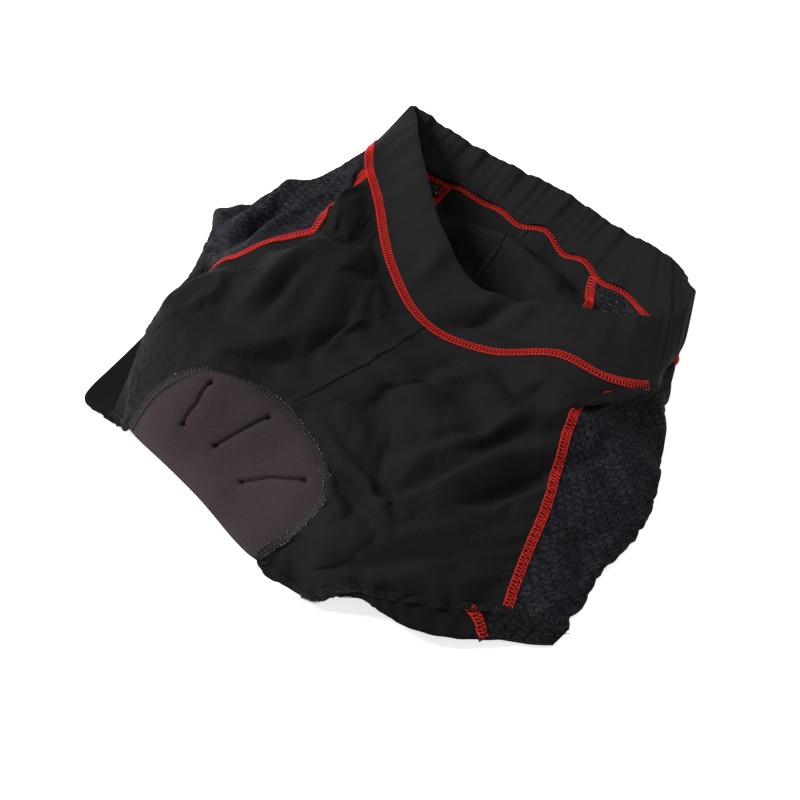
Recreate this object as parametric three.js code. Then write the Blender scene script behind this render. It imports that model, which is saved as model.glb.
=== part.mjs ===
// Padded under-shorts for snow sports, lying on their back with the front up.
// Millimetres. +X is the wearer's left, +Y runs from the crotch fold to the waist, +Z is up.
// Each half of the garment is one closed surface S(u, v). v runs down the body through the
// named rows and u runs round it from the centre front to the centre back.
import * as THREE from 'three';

// Driving dimensions
const FABRIC = 1.2; // knit and mesh panels
const SEAM_HALF = 3.4; // half of a 7 mm flatlock seam, less its clearance
const CLEAR = 0.4; // gap between neighbouring pieces
const EDGE = SEAM_HALF + CLEAR; // where a panel stops beside a seam
const LOW = EDGE + 1; // the same, at the waist seam, the hem and the pad's border
const HEM_T = 1.8; // doubled leg hem
const ELASTIC_T = 1.2;
const LAYER = 0.4; // gap between stacked layers
const BAND_DEPTH = 2 * FABRIC + 2 * LAYER + ELASTIC_T; // outer face to inner face of the waistband
const FOAM_T = 6;
const LINING_T = 1;
const INSEAM = [4.5, 8.8]; // inseam strip, measured on the front layer from the leg tip
const FLOOR = FABRIC / 2; // mid-surface height of a layer that lies on the floor
const ORIGIN = [24.6, 205.1, 0]; // centre of the outline, moved to x = y = 0

// Rows: top edge, waist seam, hip, pad top, pad side, pad corner side, pad corner, hem stitch, hem.
// Columns: 0 centre front or pad edge, 3 front side seam, 5 outer fold, 7 back side seam,
// 9 centre back or pad edge. Columns 0 and 9 meet at the inseam in the last three rows.
const LEFT = [
  [[25, 268, 46], [66, 283, 46], [98, 297, 50], [125, 312, 46], [143, 337, 40],
    [146, 366, 38], [115, 392, 28], [62, 402, 22], [27, 410, 22], [-8, 415, 24]],
  [[22, 216, 45], [72, 226, 43], [115, 247, 53], [150, 254, 49], [171, 282, 32],
    [170, 316, 17], [146, 347, 12], [61, 370, 7], [25, 376, 6], [-10, 380, 7]],
  [[25, 150, 60], [80, 180, 52], [125, 210, 50], [153, 221, 46], [178, 262, 24],
    [186, 291, 10], [155, 308, 0], [84, 320, 0], [38, 328, 0], [-8, 335, 0]],
  [[14, 80, 65], [70, 140, 58], [118, 165, 50], [167, 185, 38], [195, 215, 21],
    [208, 250, 8], [180, 256, 0], [90, 262, 0], [43, 266, 0], [-4, 270, 0]],
  [[74, 58, 55], [105, 85, 48], [143, 115, 42], [183, 150, 30], [212, 175, 17],
    [230, 200, 7], [202, 197, 0], [95, 185, 0], [49, 180, 0], [3, 175, 0]],
  [[80, 25, 42], [112, 45, 42], [150, 78, 38], [195, 115, 25], [222, 132, 14],
    [238, 150, 6], [212, 141, 0], [145, 118, 0], [112, 106, 0], [80, 95, 0]],
  [[68, -3, 25], [105, 15, 33], [148, 45, 33], [203, 92, 18], [226, 100, 11],
    [242, 112, 5], [215, 98, 0], [140, 58, 0], [104, 32, 3], [68, -3, 25]],
  [[100, 2, 12], [128, 16, 28], [160, 38, 24], [208, 78, 13], [228, 86, 8],
    [243, 97, 4], [222, 85, 0], [158, 46, 0], [129, 24, 1], [100, 2, 12]],
  [[110, 8, 7], [132, 10, 22], [170, 29, 16], [210, 60, 8], [228, 71, 6],
    [243, 82, 4], [222, 70, 0], [166, 38, 0], [138, 20, 0], [110, 8, 7]],
];
const RIGHT = [
  [[25, 268, 46], [-25, 288, 60], [-77, 330, 60], [-112, 362, 56], [-130, 382, 50],
    [-146, 398, 42], [-125, 404, 32], [-84, 408, 24], [-45, 412, 22], [-8, 415, 24]],
  [[22, 216, 45], [-32, 242, 51], [-85, 288, 51], [-116, 313, 48], [-132, 332, 46],
    [-143, 352, 34], [-130, 366, 20], [-86, 374, 10], [-45, 377, 7], [-10, 380, 7]],
  [[25, 150, 60], [-25, 190, 62], [-62, 222, 68], [-90, 242, 66], [-120, 288, 54],
    [-146, 311, 34], [-128, 322, 4], [-88, 328, 0], [-46, 332, 0], [-8, 335, 0]],
  [[14, 80, 65], [-20, 130, 72], [-60, 170, 76], [-95, 202, 72], [-130, 243, 54],
    [-162, 275, 30], [-140, 276, 3], [-96, 272, 0], [-50, 270, 0], [-4, 270, 0]],
  [[-33, 62, 80], [-52, 90, 82], [-76, 130, 83], [-102, 174, 79], [-140, 220, 50],
    [-184, 252, 18], [-162, 240, 1], [-112, 210, 0], [-55, 188, 0], [3, 175, 0]],
  [[-57, 38, 66], [-74, 60, 79], [-92, 94, 85], [-110, 136, 79], [-145, 190, 50],
    [-194, 224, 12], [-160, 202, 0], [-126, 152, 0], [-102, 120, 0], [-80, 95, 0]],
  [[-77, 22, 25], [-90, 44, 57], [-103, 80, 74], [-116, 124, 70], [-146, 172, 46],
    [-188, 212, 9], [-150, 182, 0], [-124, 122, 0], [-105, 76, 1], [-77, 22, 25]],
  [[-93, 27, 12], [-98, 50, 46], [-108, 83, 64], [-121, 119, 60], [-147, 168, 41],
    [-181, 198, 8], [-152, 164, 0], [-137, 112, 0], [-122, 64, 0], [-93, 27, 12]],
  [[-108, 30, 6], [-108, 52, 31], [-118, 81, 48], [-130, 110, 44], [-152, 156, 28],
    [-175, 183, 7], [-166, 152, 0], [-154, 108, 0], [-142, 58, 0], [-108, 30, 6]],
];
const WAIST = 1;
const PAD_TOP = 2;
const PAD_BACK = 3;
const PAD_CORNER = 5;
const STITCH = 6;
const HEM = 7;

// Vector helpers
const add = (a, b, k = 1) => a.map((x, i) => x + b[i] * k);
const sub = (a, b) => add(a, b, -1);
const dist = (a, b) => Math.hypot(...sub(a, b));
const unit = (a) => a.map((x) => x / (Math.hypot(...a) || 1));
const lerp = (a, b, t) => a + (b - a) * t;
const cross = (a, b) => [
  a[1] * b[2] - a[2] * b[1],
  a[2] * b[0] - a[0] * b[2],
  a[0] * b[1] - a[1] * b[0],
];

// Smooth curve between b and c, with a before and d after
function curve(a, b, c, d, f) {
  return b.map((_, k) => 0.5 * (2 * b[k] + (c[k] - a[k]) * f
    + (2 * a[k] - 5 * b[k] + 4 * c[k] - d[k]) * f * f
    + (3 * b[k] - a[k] - 3 * c[k] + d[k]) * f * f * f));
}

// Smooth curve through a list of points, with the parameter counted in points
function through(points, t) {
  const i = Math.max(0, Math.min(Math.floor(t), points.length - 2));
  const b = points[i];
  const c = points[i + 1];
  const a = i > 0 ? points[i - 1] : add(add(b, b), c, -1);
  const d = i + 2 < points.length ? points[i + 2] : add(add(c, c), b, -1);
  return curve(a, b, c, d, t - i);
}

// Value of v at each row of the tables
const ROW_AT = [0, 1, 1.5, 2, 3, 4, 5, 6, 7];

const onFloor = (p) => [p[0], p[1], Math.max(p[2], FLOOR)];
const mix = (a, b, t) => a.map((x, k) => lerp(x, b[k], t));

// The centre seams stop at the pad's edge and the edge turns across them there, so the lines
// down the body are bent apart at those two corners. The top edge and the waist seam run
// smoothly from one half to the other.
function surface(half, other) {
  const past = (row, r) => (r < 2 ? [other[r][1], ...row, other[r][8]] : row);
  return (u, v) => {
    const line = half.map((row, r) => through(past(row, r), r < 2 ? u + 1 : u));
    let i = 0;
    while (i < ROW_AT.length - 2 && v > ROW_AT[i + 1]) i += 1;
    const f = (v - ROW_AT[i]) / (ROW_AT[i + 1] - ROW_AT[i]);
    const front = Math.max(0, 1 - u);
    const back = Math.max(0, u - 8);
    const b = line[i];
    const c = line[i + 1];
    let a = i > 0 ? line[i - 1] : add(add(b, b), c, -1);
    let d = i + 2 < line.length ? line[i + 2] : add(add(c, c), b, -1);
    if (i === 2) d = mix(d, add(add(c, c), b, -1), front);
    if (i === 3) {
      a = mix(a, other[4][0], front);
      d = mix(d, add(add(c, c), b, -1), back);
    }
    if (i === 4) a = mix(a, other[5][9], back);
    return onFloor(curve(a, b, c, d, f));
  };
}
const onLeft = surface(LEFT, RIGHT);
const onRight = surface(RIGHT, LEFT);

// The waist ring runs through both halves: negative u is the wearer's right
const onRing = (u, v) => (u < 0 ? onRight(-u, v) : onLeft(u, v));

// Step a distance in mm along one parameter of a surface
function travel(at, u, v, du, dv, mm) {
  const step = 0.01;
  let gone = 0;
  let here = at(u, v);
  let k = 0;
  while (gone < mm && k < 400) {
    k += 1;
    const next = at(u + du * step * k, v + dv * step * k);
    const hop = dist(here, next);
    if (gone + hop > mm) return (k - 1 + (mm - gone) / hop) * step;
    gone += hop;
    here = next;
  }
  return k * step;
}

// Grid of mid-surface points between u0..u1 and v0..v1, held back from each side by so many mm
function patch(at, [u0, u1], [v0, v1], nu, nv, inset) {
  const { left = 0, right = 0, top = 0, bottom = 0 } = inset;
  const rows = [];
  for (let j = 0; j <= nv; j += 1) {
    const row = [];
    for (let i = 0; i <= nu; i += 1) {
      const guess = lerp(u0, u1, i / nu);
      const va = v0 + travel(at, guess, v0, 0, 1, top);
      const vb = v1 - travel(at, guess, v1, 0, -1, bottom);
      const v = lerp(va, vb, j / nv);
      const l = typeof left === 'function' ? left(v) : left;
      const r = typeof right === 'function' ? right(v) : right;
      const ua = u0 + travel(at, u0, v, 1, 0, l);
      const ub = u1 - travel(at, u1, v, -1, 0, r);
      row.push(at(lerp(ua, ub, i / nu), v));
    }
    rows.push(row);
  }
  return rows;
}

// The values of v at which a patch with these insets is cut along one line of constant u
function levels(at, u, [v0, v1], nv, { top, bottom }) {
  const va = v0 + travel(at, u, v0, 0, 1, top);
  const vb = v1 - travel(at, u, v1, 0, -1, bottom);
  return Array.from({ length: nv + 1 }, (_, j) => lerp(va, vb, j / nv));
}

// Seam strip along a line of constant u, cut at the given values of v
function seamAlongU(at, u, vs, half = SEAM_HALF) {
  return vs.map((v) => [
    at(u - travel(at, u, v, -1, 0, half), v),
    at(u, v),
    at(u + travel(at, u, v, 1, 0, half), v),
  ]);
}

// Seam strip along a line of constant v
function seamAlongV(at, [u0, u1], v, nu, inset, half = SEAM_HALF) {
  const rows = [];
  const ua = u0 + travel(at, u0, v, 1, 0, inset.left);
  const ub = u1 - travel(at, u1, v, -1, 0, inset.right);
  for (let i = 0; i <= nu; i += 1) {
    const u = lerp(ua, ub, i / nu);
    rows.push([
      at(u, v - travel(at, u, v, 0, -1, half)),
      at(u, v),
      at(u, v + travel(at, u, v, 0, 1, half)),
    ]);
  }
  return rows;
}

function normals(grid) {
  const rows = grid.length;
  const cols = grid[0].length;
  return grid.map((row, j) => row.map((_, i) => unit(cross(
    sub(row[Math.min(i + 1, cols - 1)], row[Math.max(i - 1, 0)]),
    sub(grid[Math.min(j + 1, rows - 1)][i], grid[Math.max(j - 1, 0)][i]),
  ))));
}

// Closed solid from a grid of rings, each ring a closed loop of points; the ends are capped
function loft(rings) {
  const count = rings[0].length;
  const points = rings.flat();
  const faces = [];
  for (let r = 0; r + 1 < rings.length; r += 1) {
    for (let k = 0; k < count; k += 1) {
      const a = r * count + k;
      const b = r * count + ((k + 1) % count);
      if (k < count / 2 - 1) faces.push([a, b, b + count], [a, b + count, a + count]);
      else faces.push([a, b, a + count], [b, b + count, a + count]);
    }
  }
  const last = (rings.length - 1) * count;
  const half = count / 2;
  for (let k = 0; k + 1 < half; k += 1) {
    const m = count - 1 - k;
    faces.push([k + 1, k, m], [k + 1, m, m - 1]);
    faces.push([last + k, last + k + 1, last + m], [last + k + 1, last + m - 1, last + m]);
  }
  return solid(points, faces);
}

function solid(points, faces) {
  let volume = 0;
  for (const [a, b, c] of faces) {
    const n = cross(points[b], points[c]);
    volume += points[a][0] * n[0] + points[a][1] * n[1] + points[a][2] * n[2];
  }
  const order = volume > 0 ? [0, 1, 2] : [0, 2, 1];
  const geometry = new THREE.BufferGeometry();
  const placed = points.map((p) => sub(p, ORIGIN));
  const flat = faces.flatMap((f) => order.flatMap((k) => placed[f[k]]));
  geometry.setAttribute('position', new THREE.Float32BufferAttribute(flat, 3));
  geometry.computeVertexNormals();
  return geometry;
}

// Thick sheet about a grid: out and inn are the distances of its two faces along the normal.
// The side that faces out is +1 or -1 times the grid's own normal.
function sheet(grid, side, out = FABRIC / 2, inn = -FABRIC / 2, n = normals(grid)) {
  const flatFace = (p, k, lift) => {
    const q = add(p[0], p[1], k * side);
    const down = p[0][2] <= FLOOR + 1e-6;
    return down ? [p[0][0], p[0][1], lift] : [q[0], q[1], Math.max(q[2], lift)];
  };
  const rings = grid.map((row, j) => {
    const outer = row.map((p, i) => flatFace([p, n[j][i]], out, Math.max(0, FLOOR - out)));
    const inner = row.map((p, i) => flatFace([p, n[j][i]], inn, FLOOR - inn));
    return [...outer, ...inner.reverse()];
  });
  return loft(rings);
}

const COLOURS = {
  knit: 0x1e1e1e,
  band: 0x242424,
  mesh: 0x222224,
  hem: 0x191717,
  thread: 0x91251f,
  dark_thread: 0x1a1a1b,
  border: 0x2c2a2c,
  pad: 0x3a3133,
  foam: 0x8a8a86,
  elastic: 0x2a2a2a,
};
const group = new THREE.Group();
group.name = 'padded_shorts';

function piece(name, slot, geometry) {
  const rough = slot === 'thread' ? 0.6 : 0.9;
  const material = new THREE.MeshStandardMaterial({
    color: COLOURS[slot],
    roughness: rough,
    metalness: 0,
  });
  material.name = slot;
  const mesh = new THREE.Mesh(geometry, material);
  mesh.name = name;
  group.add(mesh);
}

// Panels, seams and hems of each leg half
const LEG = [WAIST, STITCH];
const ROWS = 18;
for (const [who, at, side] of [['left', onLeft, -1], ['right', onRight, 1]]) {
  const frontEdge = (v) => (v < PAD_CORNER ? EDGE : INSEAM[1] + 3 * CLEAR);
  const backEdge = (v) => (v < PAD_CORNER ? EDGE + CLEAR : INSEAM[0]);
  piece(`front_panel_${who}`, 'knit', sheet(
    patch(at, [0, 3], LEG, 7, ROWS, { left: frontEdge, right: EDGE, top: LOW, bottom: LOW }),
    side,
  ));
  piece(`side_mesh_${who}`, 'mesh', sheet(
    patch(at, [3, 7], LEG, 11, ROWS, { left: EDGE, right: EDGE, top: LOW, bottom: LOW }),
    side,
  ));
  piece(`back_panel_${who}`, 'knit', sheet(
    patch(at, [7, 9], LEG, 5, ROWS, { left: EDGE, right: backEdge, top: LOW, bottom: LOW }),
    side,
  ));
  piece(`front_side_seam_${who}`, 'thread', sheet(
    seamAlongU(at, 3, levels(at, 3, LEG, ROWS, { top: LOW, bottom: LOW })),
    side,
  ));
  piece(`back_side_seam_${who}`, 'thread', sheet(
    seamAlongU(at, 7, levels(at, 7, LEG, ROWS, { top: LOW, bottom: LOW })),
    side,
  ));
  piece(`hem_coverstitch_${who}`, 'dark_thread', sheet(
    seamAlongV(at, [0, 9], STITCH, 36, { left: 8, right: 8 }, 2.5),
    -side,
  ));
  piece(`leg_hem_${who}`, 'hem', sheet(
    patch(at, [0, 9], [STITCH, HEM], 36, 2, { left: 8, right: 8, top: LOW, bottom: 0 }),
    side,
    FABRIC / 2,
    FABRIC / 2 - HEM_T,
  ));
  piece(`inseam_${who}`, 'dark_thread', sheet(
    patch(at, [0, 0.9], [PAD_CORNER, STITCH], 2, 4, { left: INSEAM[0], top: 7, bottom: 6 })
      .map((row) => [row[0], add(row[0], unit(sub(row[1], row[0])), INSEAM[1] - INSEAM[0])]),
    side,
  ));
}

// Side seam tabs that cross the doubled hems
for (const [who, at, side, u] of [['left', onLeft, -1, 2.72], ['right', onRight, 1, 3]]) {
  piece(`hem_seam_tab_${who}`, 'thread', sheet(
    seamAlongU(at, u, levels(at, u, [STITCH, HEM], 3, { top: EDGE, bottom: 0.5 })),
    side,
    FABRIC / 2 + CLEAR + 0.9,
    FABRIC / 2 + CLEAR,
  ));
}

// Centre seams
const centreFront = (u, v) => (u < 0 ? onRight(-u, v) : onLeft(u, v));
const centreBack = (u, v) => (u < 0 ? onRight(9 + u, v) : onLeft(9 - u, v));
const frontLevels = levels(onLeft, 0, LEG, ROWS, { top: LOW, bottom: LOW });
const backLevels = levels(onLeft, 9, LEG, ROWS, { top: LOW, bottom: LOW });
piece('centre_front_seam', 'dark_thread', sheet(
  seamAlongU(centreFront, 0, [
    ...frontLevels.filter((v) => v < PAD_TOP - 0.1),
    PAD_TOP - travel(onLeft, 0, PAD_TOP, 0, -1, EDGE + 1),
  ]),
  -1,
));
piece('centre_back_seam', 'dark_thread', sheet(
  seamAlongU(centreBack, 0, [
    ...backLevels.filter((v) => v < PAD_BACK - 0.1),
    PAD_BACK - travel(onLeft, 9, PAD_BACK, 0, -1, EDGE + 1),
  ]),
  1,
));

// Waist seam and waistband. The band is one strip folded over the elastic: each cross-section
// goes up the outside, over the top edge and down the inside.
const BAND_SPLIT = 4.2;
const HEIGHTS = [0, 0.1, 0.4, 0.7, 1];
function bandSection(u) {
  const low = 1 - travel(onRing, u, 1, 0, -1, LOW);
  const mid = HEIGHTS.map((t) => onRing(u, t * low));
  const n = HEIGHTS.map((t) => {
    const v = t * low;
    const across = sub(onRing(u + 0.02, v), onRing(u - 0.02, v));
    const down = sub(onRing(u, v + 0.02), onRing(u, Math.max(v - 0.02, 0)));
    return unit(cross(down, across));
  });
  return { mid, n, top: unit(sub(mid[0], mid[2])) };
}
function spread(u0, u1, count) {
  return Array.from({ length: count + 1 }, (_, i) => lerp(u0, u1, i / count));
}
const FRONT_US = spread(-BAND_SPLIT + 0.01, BAND_SPLIT - 0.01, 28);
const LEFT_US = spread(BAND_SPLIT + 0.01, 8.99, 14);
const RIGHT_US = spread(-8.99, -BAND_SPLIT - 0.01, 14);
function bandSolid(us) {
  return ringSolid(us.map((u) => {
    const { mid, n, top } = bandSection(u);
    const face = (d) => mid.map((p, k) => add(p, n[k], d));
    const half = FABRIC / 2;
    const outer = face(half);
    const outerIn = face(-half);
    const innerOut = face(half - BAND_DEPTH + FABRIC);
    const inner = face(half - BAND_DEPTH);
    outerIn[0] = add(outerIn[0], top, -half);
    innerOut[0] = add(innerOut[0], top, -half);
    const crest = [
      add(add(mid[0], n[0], half - BAND_DEPTH * 0.25), top, 1.4),
      add(add(mid[0], n[0], half - BAND_DEPTH * 0.75), top, 1.4),
    ];
    return [...outer.reverse(), ...crest, ...inner, ...innerOut.reverse(), ...outerIn];
  }));
}

// Loft of U-shaped rings: the outline goes up the outside, over, down the inside and back
function ringSolid(rings) {
  const count = rings[0].length;
  const points = rings.flat();
  const faces = [];
  for (let r = 0; r + 1 < rings.length; r += 1) {
    for (let k = 0; k < count; k += 1) {
      const a = r * count + k;
      const b = r * count + ((k + 1) % count);
      if (k < 12 || k > 16) faces.push([a, b, b + count], [a, b + count, a + count]);
      else faces.push([a, b, a + count], [b, b + count, a + count]);
    }
  }
  // The end face is a row of quads between the outline's outer and inner runs
  const cap = (base, flip) => {
    const outside = [0, 1, 2, 3, 4, 5, 6, 7, 8, 9, 10, 11];
    const inside = [21, 20, 19, 18, 17, 17, 16, 16, 15, 14, 13, 12];
    for (let k = 0; k + 1 < outside.length; k += 1) {
      const quad = [outside[k], outside[k + 1], inside[k + 1], inside[k]];
      const tris = [[quad[0], quad[1], quad[2]], [quad[0], quad[2], quad[3]]];
      for (const t of tris) {
        if (new Set(t).size < 3) continue;
        const f = t.map((x) => base + x);
        faces.push(flip ? f : [f[0], f[2], f[1]]);
      }
    }
  };
  cap(0, false);
  cap((rings.length - 1) * count, true);
  return solid(points, faces);
}

piece('waistband_front', 'band', bandSolid(FRONT_US));
piece('waistband_back_left', 'band', bandSolid(LEFT_US));
piece('waistband_back_right', 'band', bandSolid(RIGHT_US));
const elasticSections = [...RIGHT_US, ...FRONT_US, ...LEFT_US].map(bandSection);
const elasticOut = -FABRIC / 2 - LAYER;
piece('waist_elastic', 'elastic', loft(elasticSections.map(({ mid, n }) => [
  ...mid.slice(1).map((p, k) => add(p, n[k + 1], elasticOut)),
  ...mid.slice(1).map((p, k) => add(p, n[k + 1], elasticOut - ELASTIC_T)).reverse(),
])));
piece('waist_seam_front', 'thread', sheet(
  seamAlongV(onRing, [-5, 5], WAIST, 40, { left: 0.3, right: 0.3 }),
  1,
));
piece('waist_seam_back', 'thread', sheet(
  [
    ...seamAlongV(onRing, [5, 9], WAIST, 16, { left: 0.3, right: 0 }),
    ...seamAlongV(onRing, [-9, -5], WAIST, 16, { left: 0, right: 0.3 }).slice(1),
  ],
  1,
));

// Crotch and seat pad. Its outline follows the panels' inner edges: parameter w counts rows
// away from the pad's top (front, 2) or its back end (seat, 3), negative on the wearer's right.
const frontEdgeAt = (w) => (w < 0 ? onRight(0, PAD_TOP - w) : onLeft(0, PAD_TOP + w));
const backEdgeAt = (w) => (w < 0 ? onRight(9, PAD_BACK - w) : onLeft(9, PAD_BACK + w));
const frontBeside = (w) => (w < 0 ? onRight(0.05, PAD_TOP - w) : onLeft(0.05, PAD_TOP + w));
const backBeside = (w) => (w < 0 ? onRight(8.95, PAD_BACK - w) : onLeft(8.95, PAD_BACK + w));

// A point a distance inside the outline, in the plane of the panel beside it
function inside(edgeAt, beside, w, mm) {
  const p = edgeAt(w);
  const along = unit(sub(edgeAt(w + 0.02), edgeAt(w - 0.02)));
  const away = sub(beside(w), p);
  const dot = away[0] * along[0] + away[1] * along[1] + away[2] * along[2];
  return add(p, unit(add(away, along, -dot)), -mm);
}

// Rows of the pad run from the front top over the crotch fold to the seat
const PAD_ROWS = [
  [[-28, 65, 78], [-14, 74, 75], [2, 79, 70], [26, 80, 63], [48, 73, 59]],
  [[-47, 47, 75], [-26, 52, 75], [2, 58, 69], [38, 61, 60], [74, 58, 55]],
  [[-60, 35, 63], [-34, 33, 64], [2, 37, 57], [43, 39, 50], [85, 42, 49]],
  [[-69, 28, 45], [-38, 17, 47], [1, 18, 41], [43, 17, 37], [80, 22, 40]],
  [[-77, 22, 25], [-40, 10, 27], [0, 6, 22], [38, 1, 20], [68, -3, 25]],
  [[-79, 36, 12], [-43, 22, 7], [0, 19, 4], [38, 18, 5], [74, 18, 12]],
  [[-84, 66, 0], [-46, 60, 0], [0, 56, 0], [43, 58, 0], [80, 60, 0]],
  [[-78, 100, 0], [-42, 108, 0], [0, 110, 0], [42, 108, 0], [78, 100, 0]],
  [[-52, 140, 0], [-28, 162, 0], [0, 172, 0], [30, 162, 0], [52, 140, 0]],
];
const SIDE_ROWS = [
  { right: -0.65, left: 0.55 },
  { right: -1.4, left: 1 },
  { right: -2.05, left: 1.5 },
  { right: -2.55, left: 2.1 },
  { right: -3, left: 3 },
];
const SEAT_ROWS = [2, 1.7, 1.35, 0.95, 0.5];
const TOP_COLS = [-0.65, -0.45, -0.15, 0.25, 0.55];
const SEAT_COLS = [-0.5, -0.25, 0, 0.25, 0.5];
const stepped = (list, t) => {
  const i = Math.max(0, Math.min(Math.floor(t), list.length - 2));
  return lerp(list[i], list[i + 1], t - i);
};

function padGrid(mm, ts, ss) {
  const edge = (who, s) => {
    const sign = who === 'left' ? 1 : -1;
    if (s > 4) return inside(backEdgeAt, backBeside, sign * stepped(SEAT_ROWS, s - 4), mm);
    return inside(frontEdgeAt, frontBeside, stepped(SIDE_ROWS.map((r) => r[who]), s), mm);
  };
  const rough = (t, s) => through(PAD_ROWS.map((row) => through(row, t)), s);
  return ss.map((s) => ts.map((t) => {
    const p = rough(t, s);
    const x = t / 4;
    const y = s / 8;
    const off = {
      right: sub(edge('right', s), rough(0, s)),
      left: sub(edge('left', s), rough(4, s)),
      top: sub(inside(frontEdgeAt, frontBeside, stepped(TOP_COLS, t), mm), rough(t, 0)),
      seat: sub(inside(backEdgeAt, backBeside, stepped(SEAT_COLS, t), mm), rough(t, 8)),
    };
    const corner = (who, st) => sub(edge(who, st), rough(who === 'left' ? 4 : 0, st));
    return onFloor(p.map((value, k) => value
      + (1 - x) * off.right[k] + x * off.left[k] + (1 - y) * off.top[k] + y * off.seat[k]
      - (1 - x) * (1 - y) * corner('right', 0)[k] - x * (1 - y) * corner('left', 0)[k]
      - (1 - x) * y * corner('right', 8)[k] - x * y * corner('left', 8)[k]));
  }));
}
const PAD_TS = [0, 0.12, 0.6, 1.2, 2, 2.8, 3.4, 3.88, 4];
const PAD_SS = [0, 0.12, ...spread(0.5, 7.5, 16), 7.88, 8];
const coverGrid = padGrid(LOW + 0.5, PAD_TS, PAD_SS);
const coverNormals = normals(coverGrid);
const foamOut = -FABRIC / 2 - LAYER;
const liningOut = foamOut - FOAM_T - LAYER;
piece('pad_cover', 'pad', sheet(coverGrid, -1));
// The foam and its lining are thinned out at the crotch fold, so each is a front and a seat piece
const FOLD = [3.2, 5.2];
for (const [who, keep] of [['front', (s) => s < FOLD[0]], ['seat', (s) => s > FOLD[1]]]) {
  const rows = PAD_SS.map((s, j) => (s > 0 && s < 8 && keep(s) ? j : -1)).filter((j) => j >= 0);
  const cut = (grid) => rows.map((j) => grid[j].slice(1, -1));
  const layer = (out, thick) => sheet(cut(coverGrid), -1, out, out - thick, cut(coverNormals));
  piece(`pad_foam_${who}`, 'foam', layer(foamOut, FOAM_T));
  piece(`pad_lining_${who}`, 'knit', layer(liningOut, LINING_T));
}

// Flatlock border of the pad, one strip on the front and one on the seat
function border(edgeAt, beside, ws, col, row) {
  return ws.map((w) => {
    const at = w < 0 ? onRight : onLeft;
    const v = row + Math.abs(w);
    const du = col === 0 ? 1 : -1;
    return [
      inside(edgeAt, beside, w, SEAM_HALF),
      edgeAt(w),
      at(col + du * travel(at, col, v, du, 0, SEAM_HALF), v),
    ];
  });
}
const both = (vs, row) => {
  const out = vs.filter((v) => v > row + 0.05 && v < PAD_CORNER - 0.15).map((v) => v - row);
  return [...out.map((w) => -w).reverse(), 0, ...out];
};
piece('pad_border_front', 'border', sheet(
  border(frontEdgeAt, frontBeside, both(frontLevels, PAD_TOP), 0, PAD_TOP),
  -1,
));
piece('pad_border_back', 'border', sheet(
  border(backEdgeAt, backBeside, both(backLevels, PAD_BACK), 9, PAD_BACK),
  1,
));

export default group;
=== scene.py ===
import math

import bmesh
import bpy
import mathutils
import numpy as np
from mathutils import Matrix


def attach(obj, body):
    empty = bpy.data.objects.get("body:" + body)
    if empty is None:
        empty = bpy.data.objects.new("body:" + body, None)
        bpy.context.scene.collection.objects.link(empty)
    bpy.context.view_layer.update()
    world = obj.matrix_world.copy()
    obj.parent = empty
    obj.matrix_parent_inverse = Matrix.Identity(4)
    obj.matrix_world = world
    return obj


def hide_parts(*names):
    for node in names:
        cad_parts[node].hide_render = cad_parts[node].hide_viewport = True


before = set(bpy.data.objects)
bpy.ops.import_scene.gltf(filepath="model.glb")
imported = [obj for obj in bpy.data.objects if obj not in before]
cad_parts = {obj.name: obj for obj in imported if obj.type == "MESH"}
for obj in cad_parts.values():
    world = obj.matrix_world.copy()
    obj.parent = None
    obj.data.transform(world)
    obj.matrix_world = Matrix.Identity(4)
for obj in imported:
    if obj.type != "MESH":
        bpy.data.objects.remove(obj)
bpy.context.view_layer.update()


# How the shorts lie
# The garment is two halves of stretch cloth, each one surface from the waistband's top edge to
# the leg hem. Row tables give where it lies, in millimetres from the middle of the crotch fold.
# Along a row, 0 is the centre front or the pad's edge, 3 the front side seam, 5 the outer fold,
# 7 the back side seam and 9 the centre back.
MM = 0.001
CENTRE = np.array([24.6, 205.1, 0.0])
FLOOR = 0.6
ROW_AT = np.array([0, 1, 1.5, 2, 3, 4, 5, 6, 7.0])
WAIST, PAD_TOP, PAD_SEAT, PAD_CORNER, STITCH, HEM = 1, 2, 3, 5, 6, 7
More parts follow.
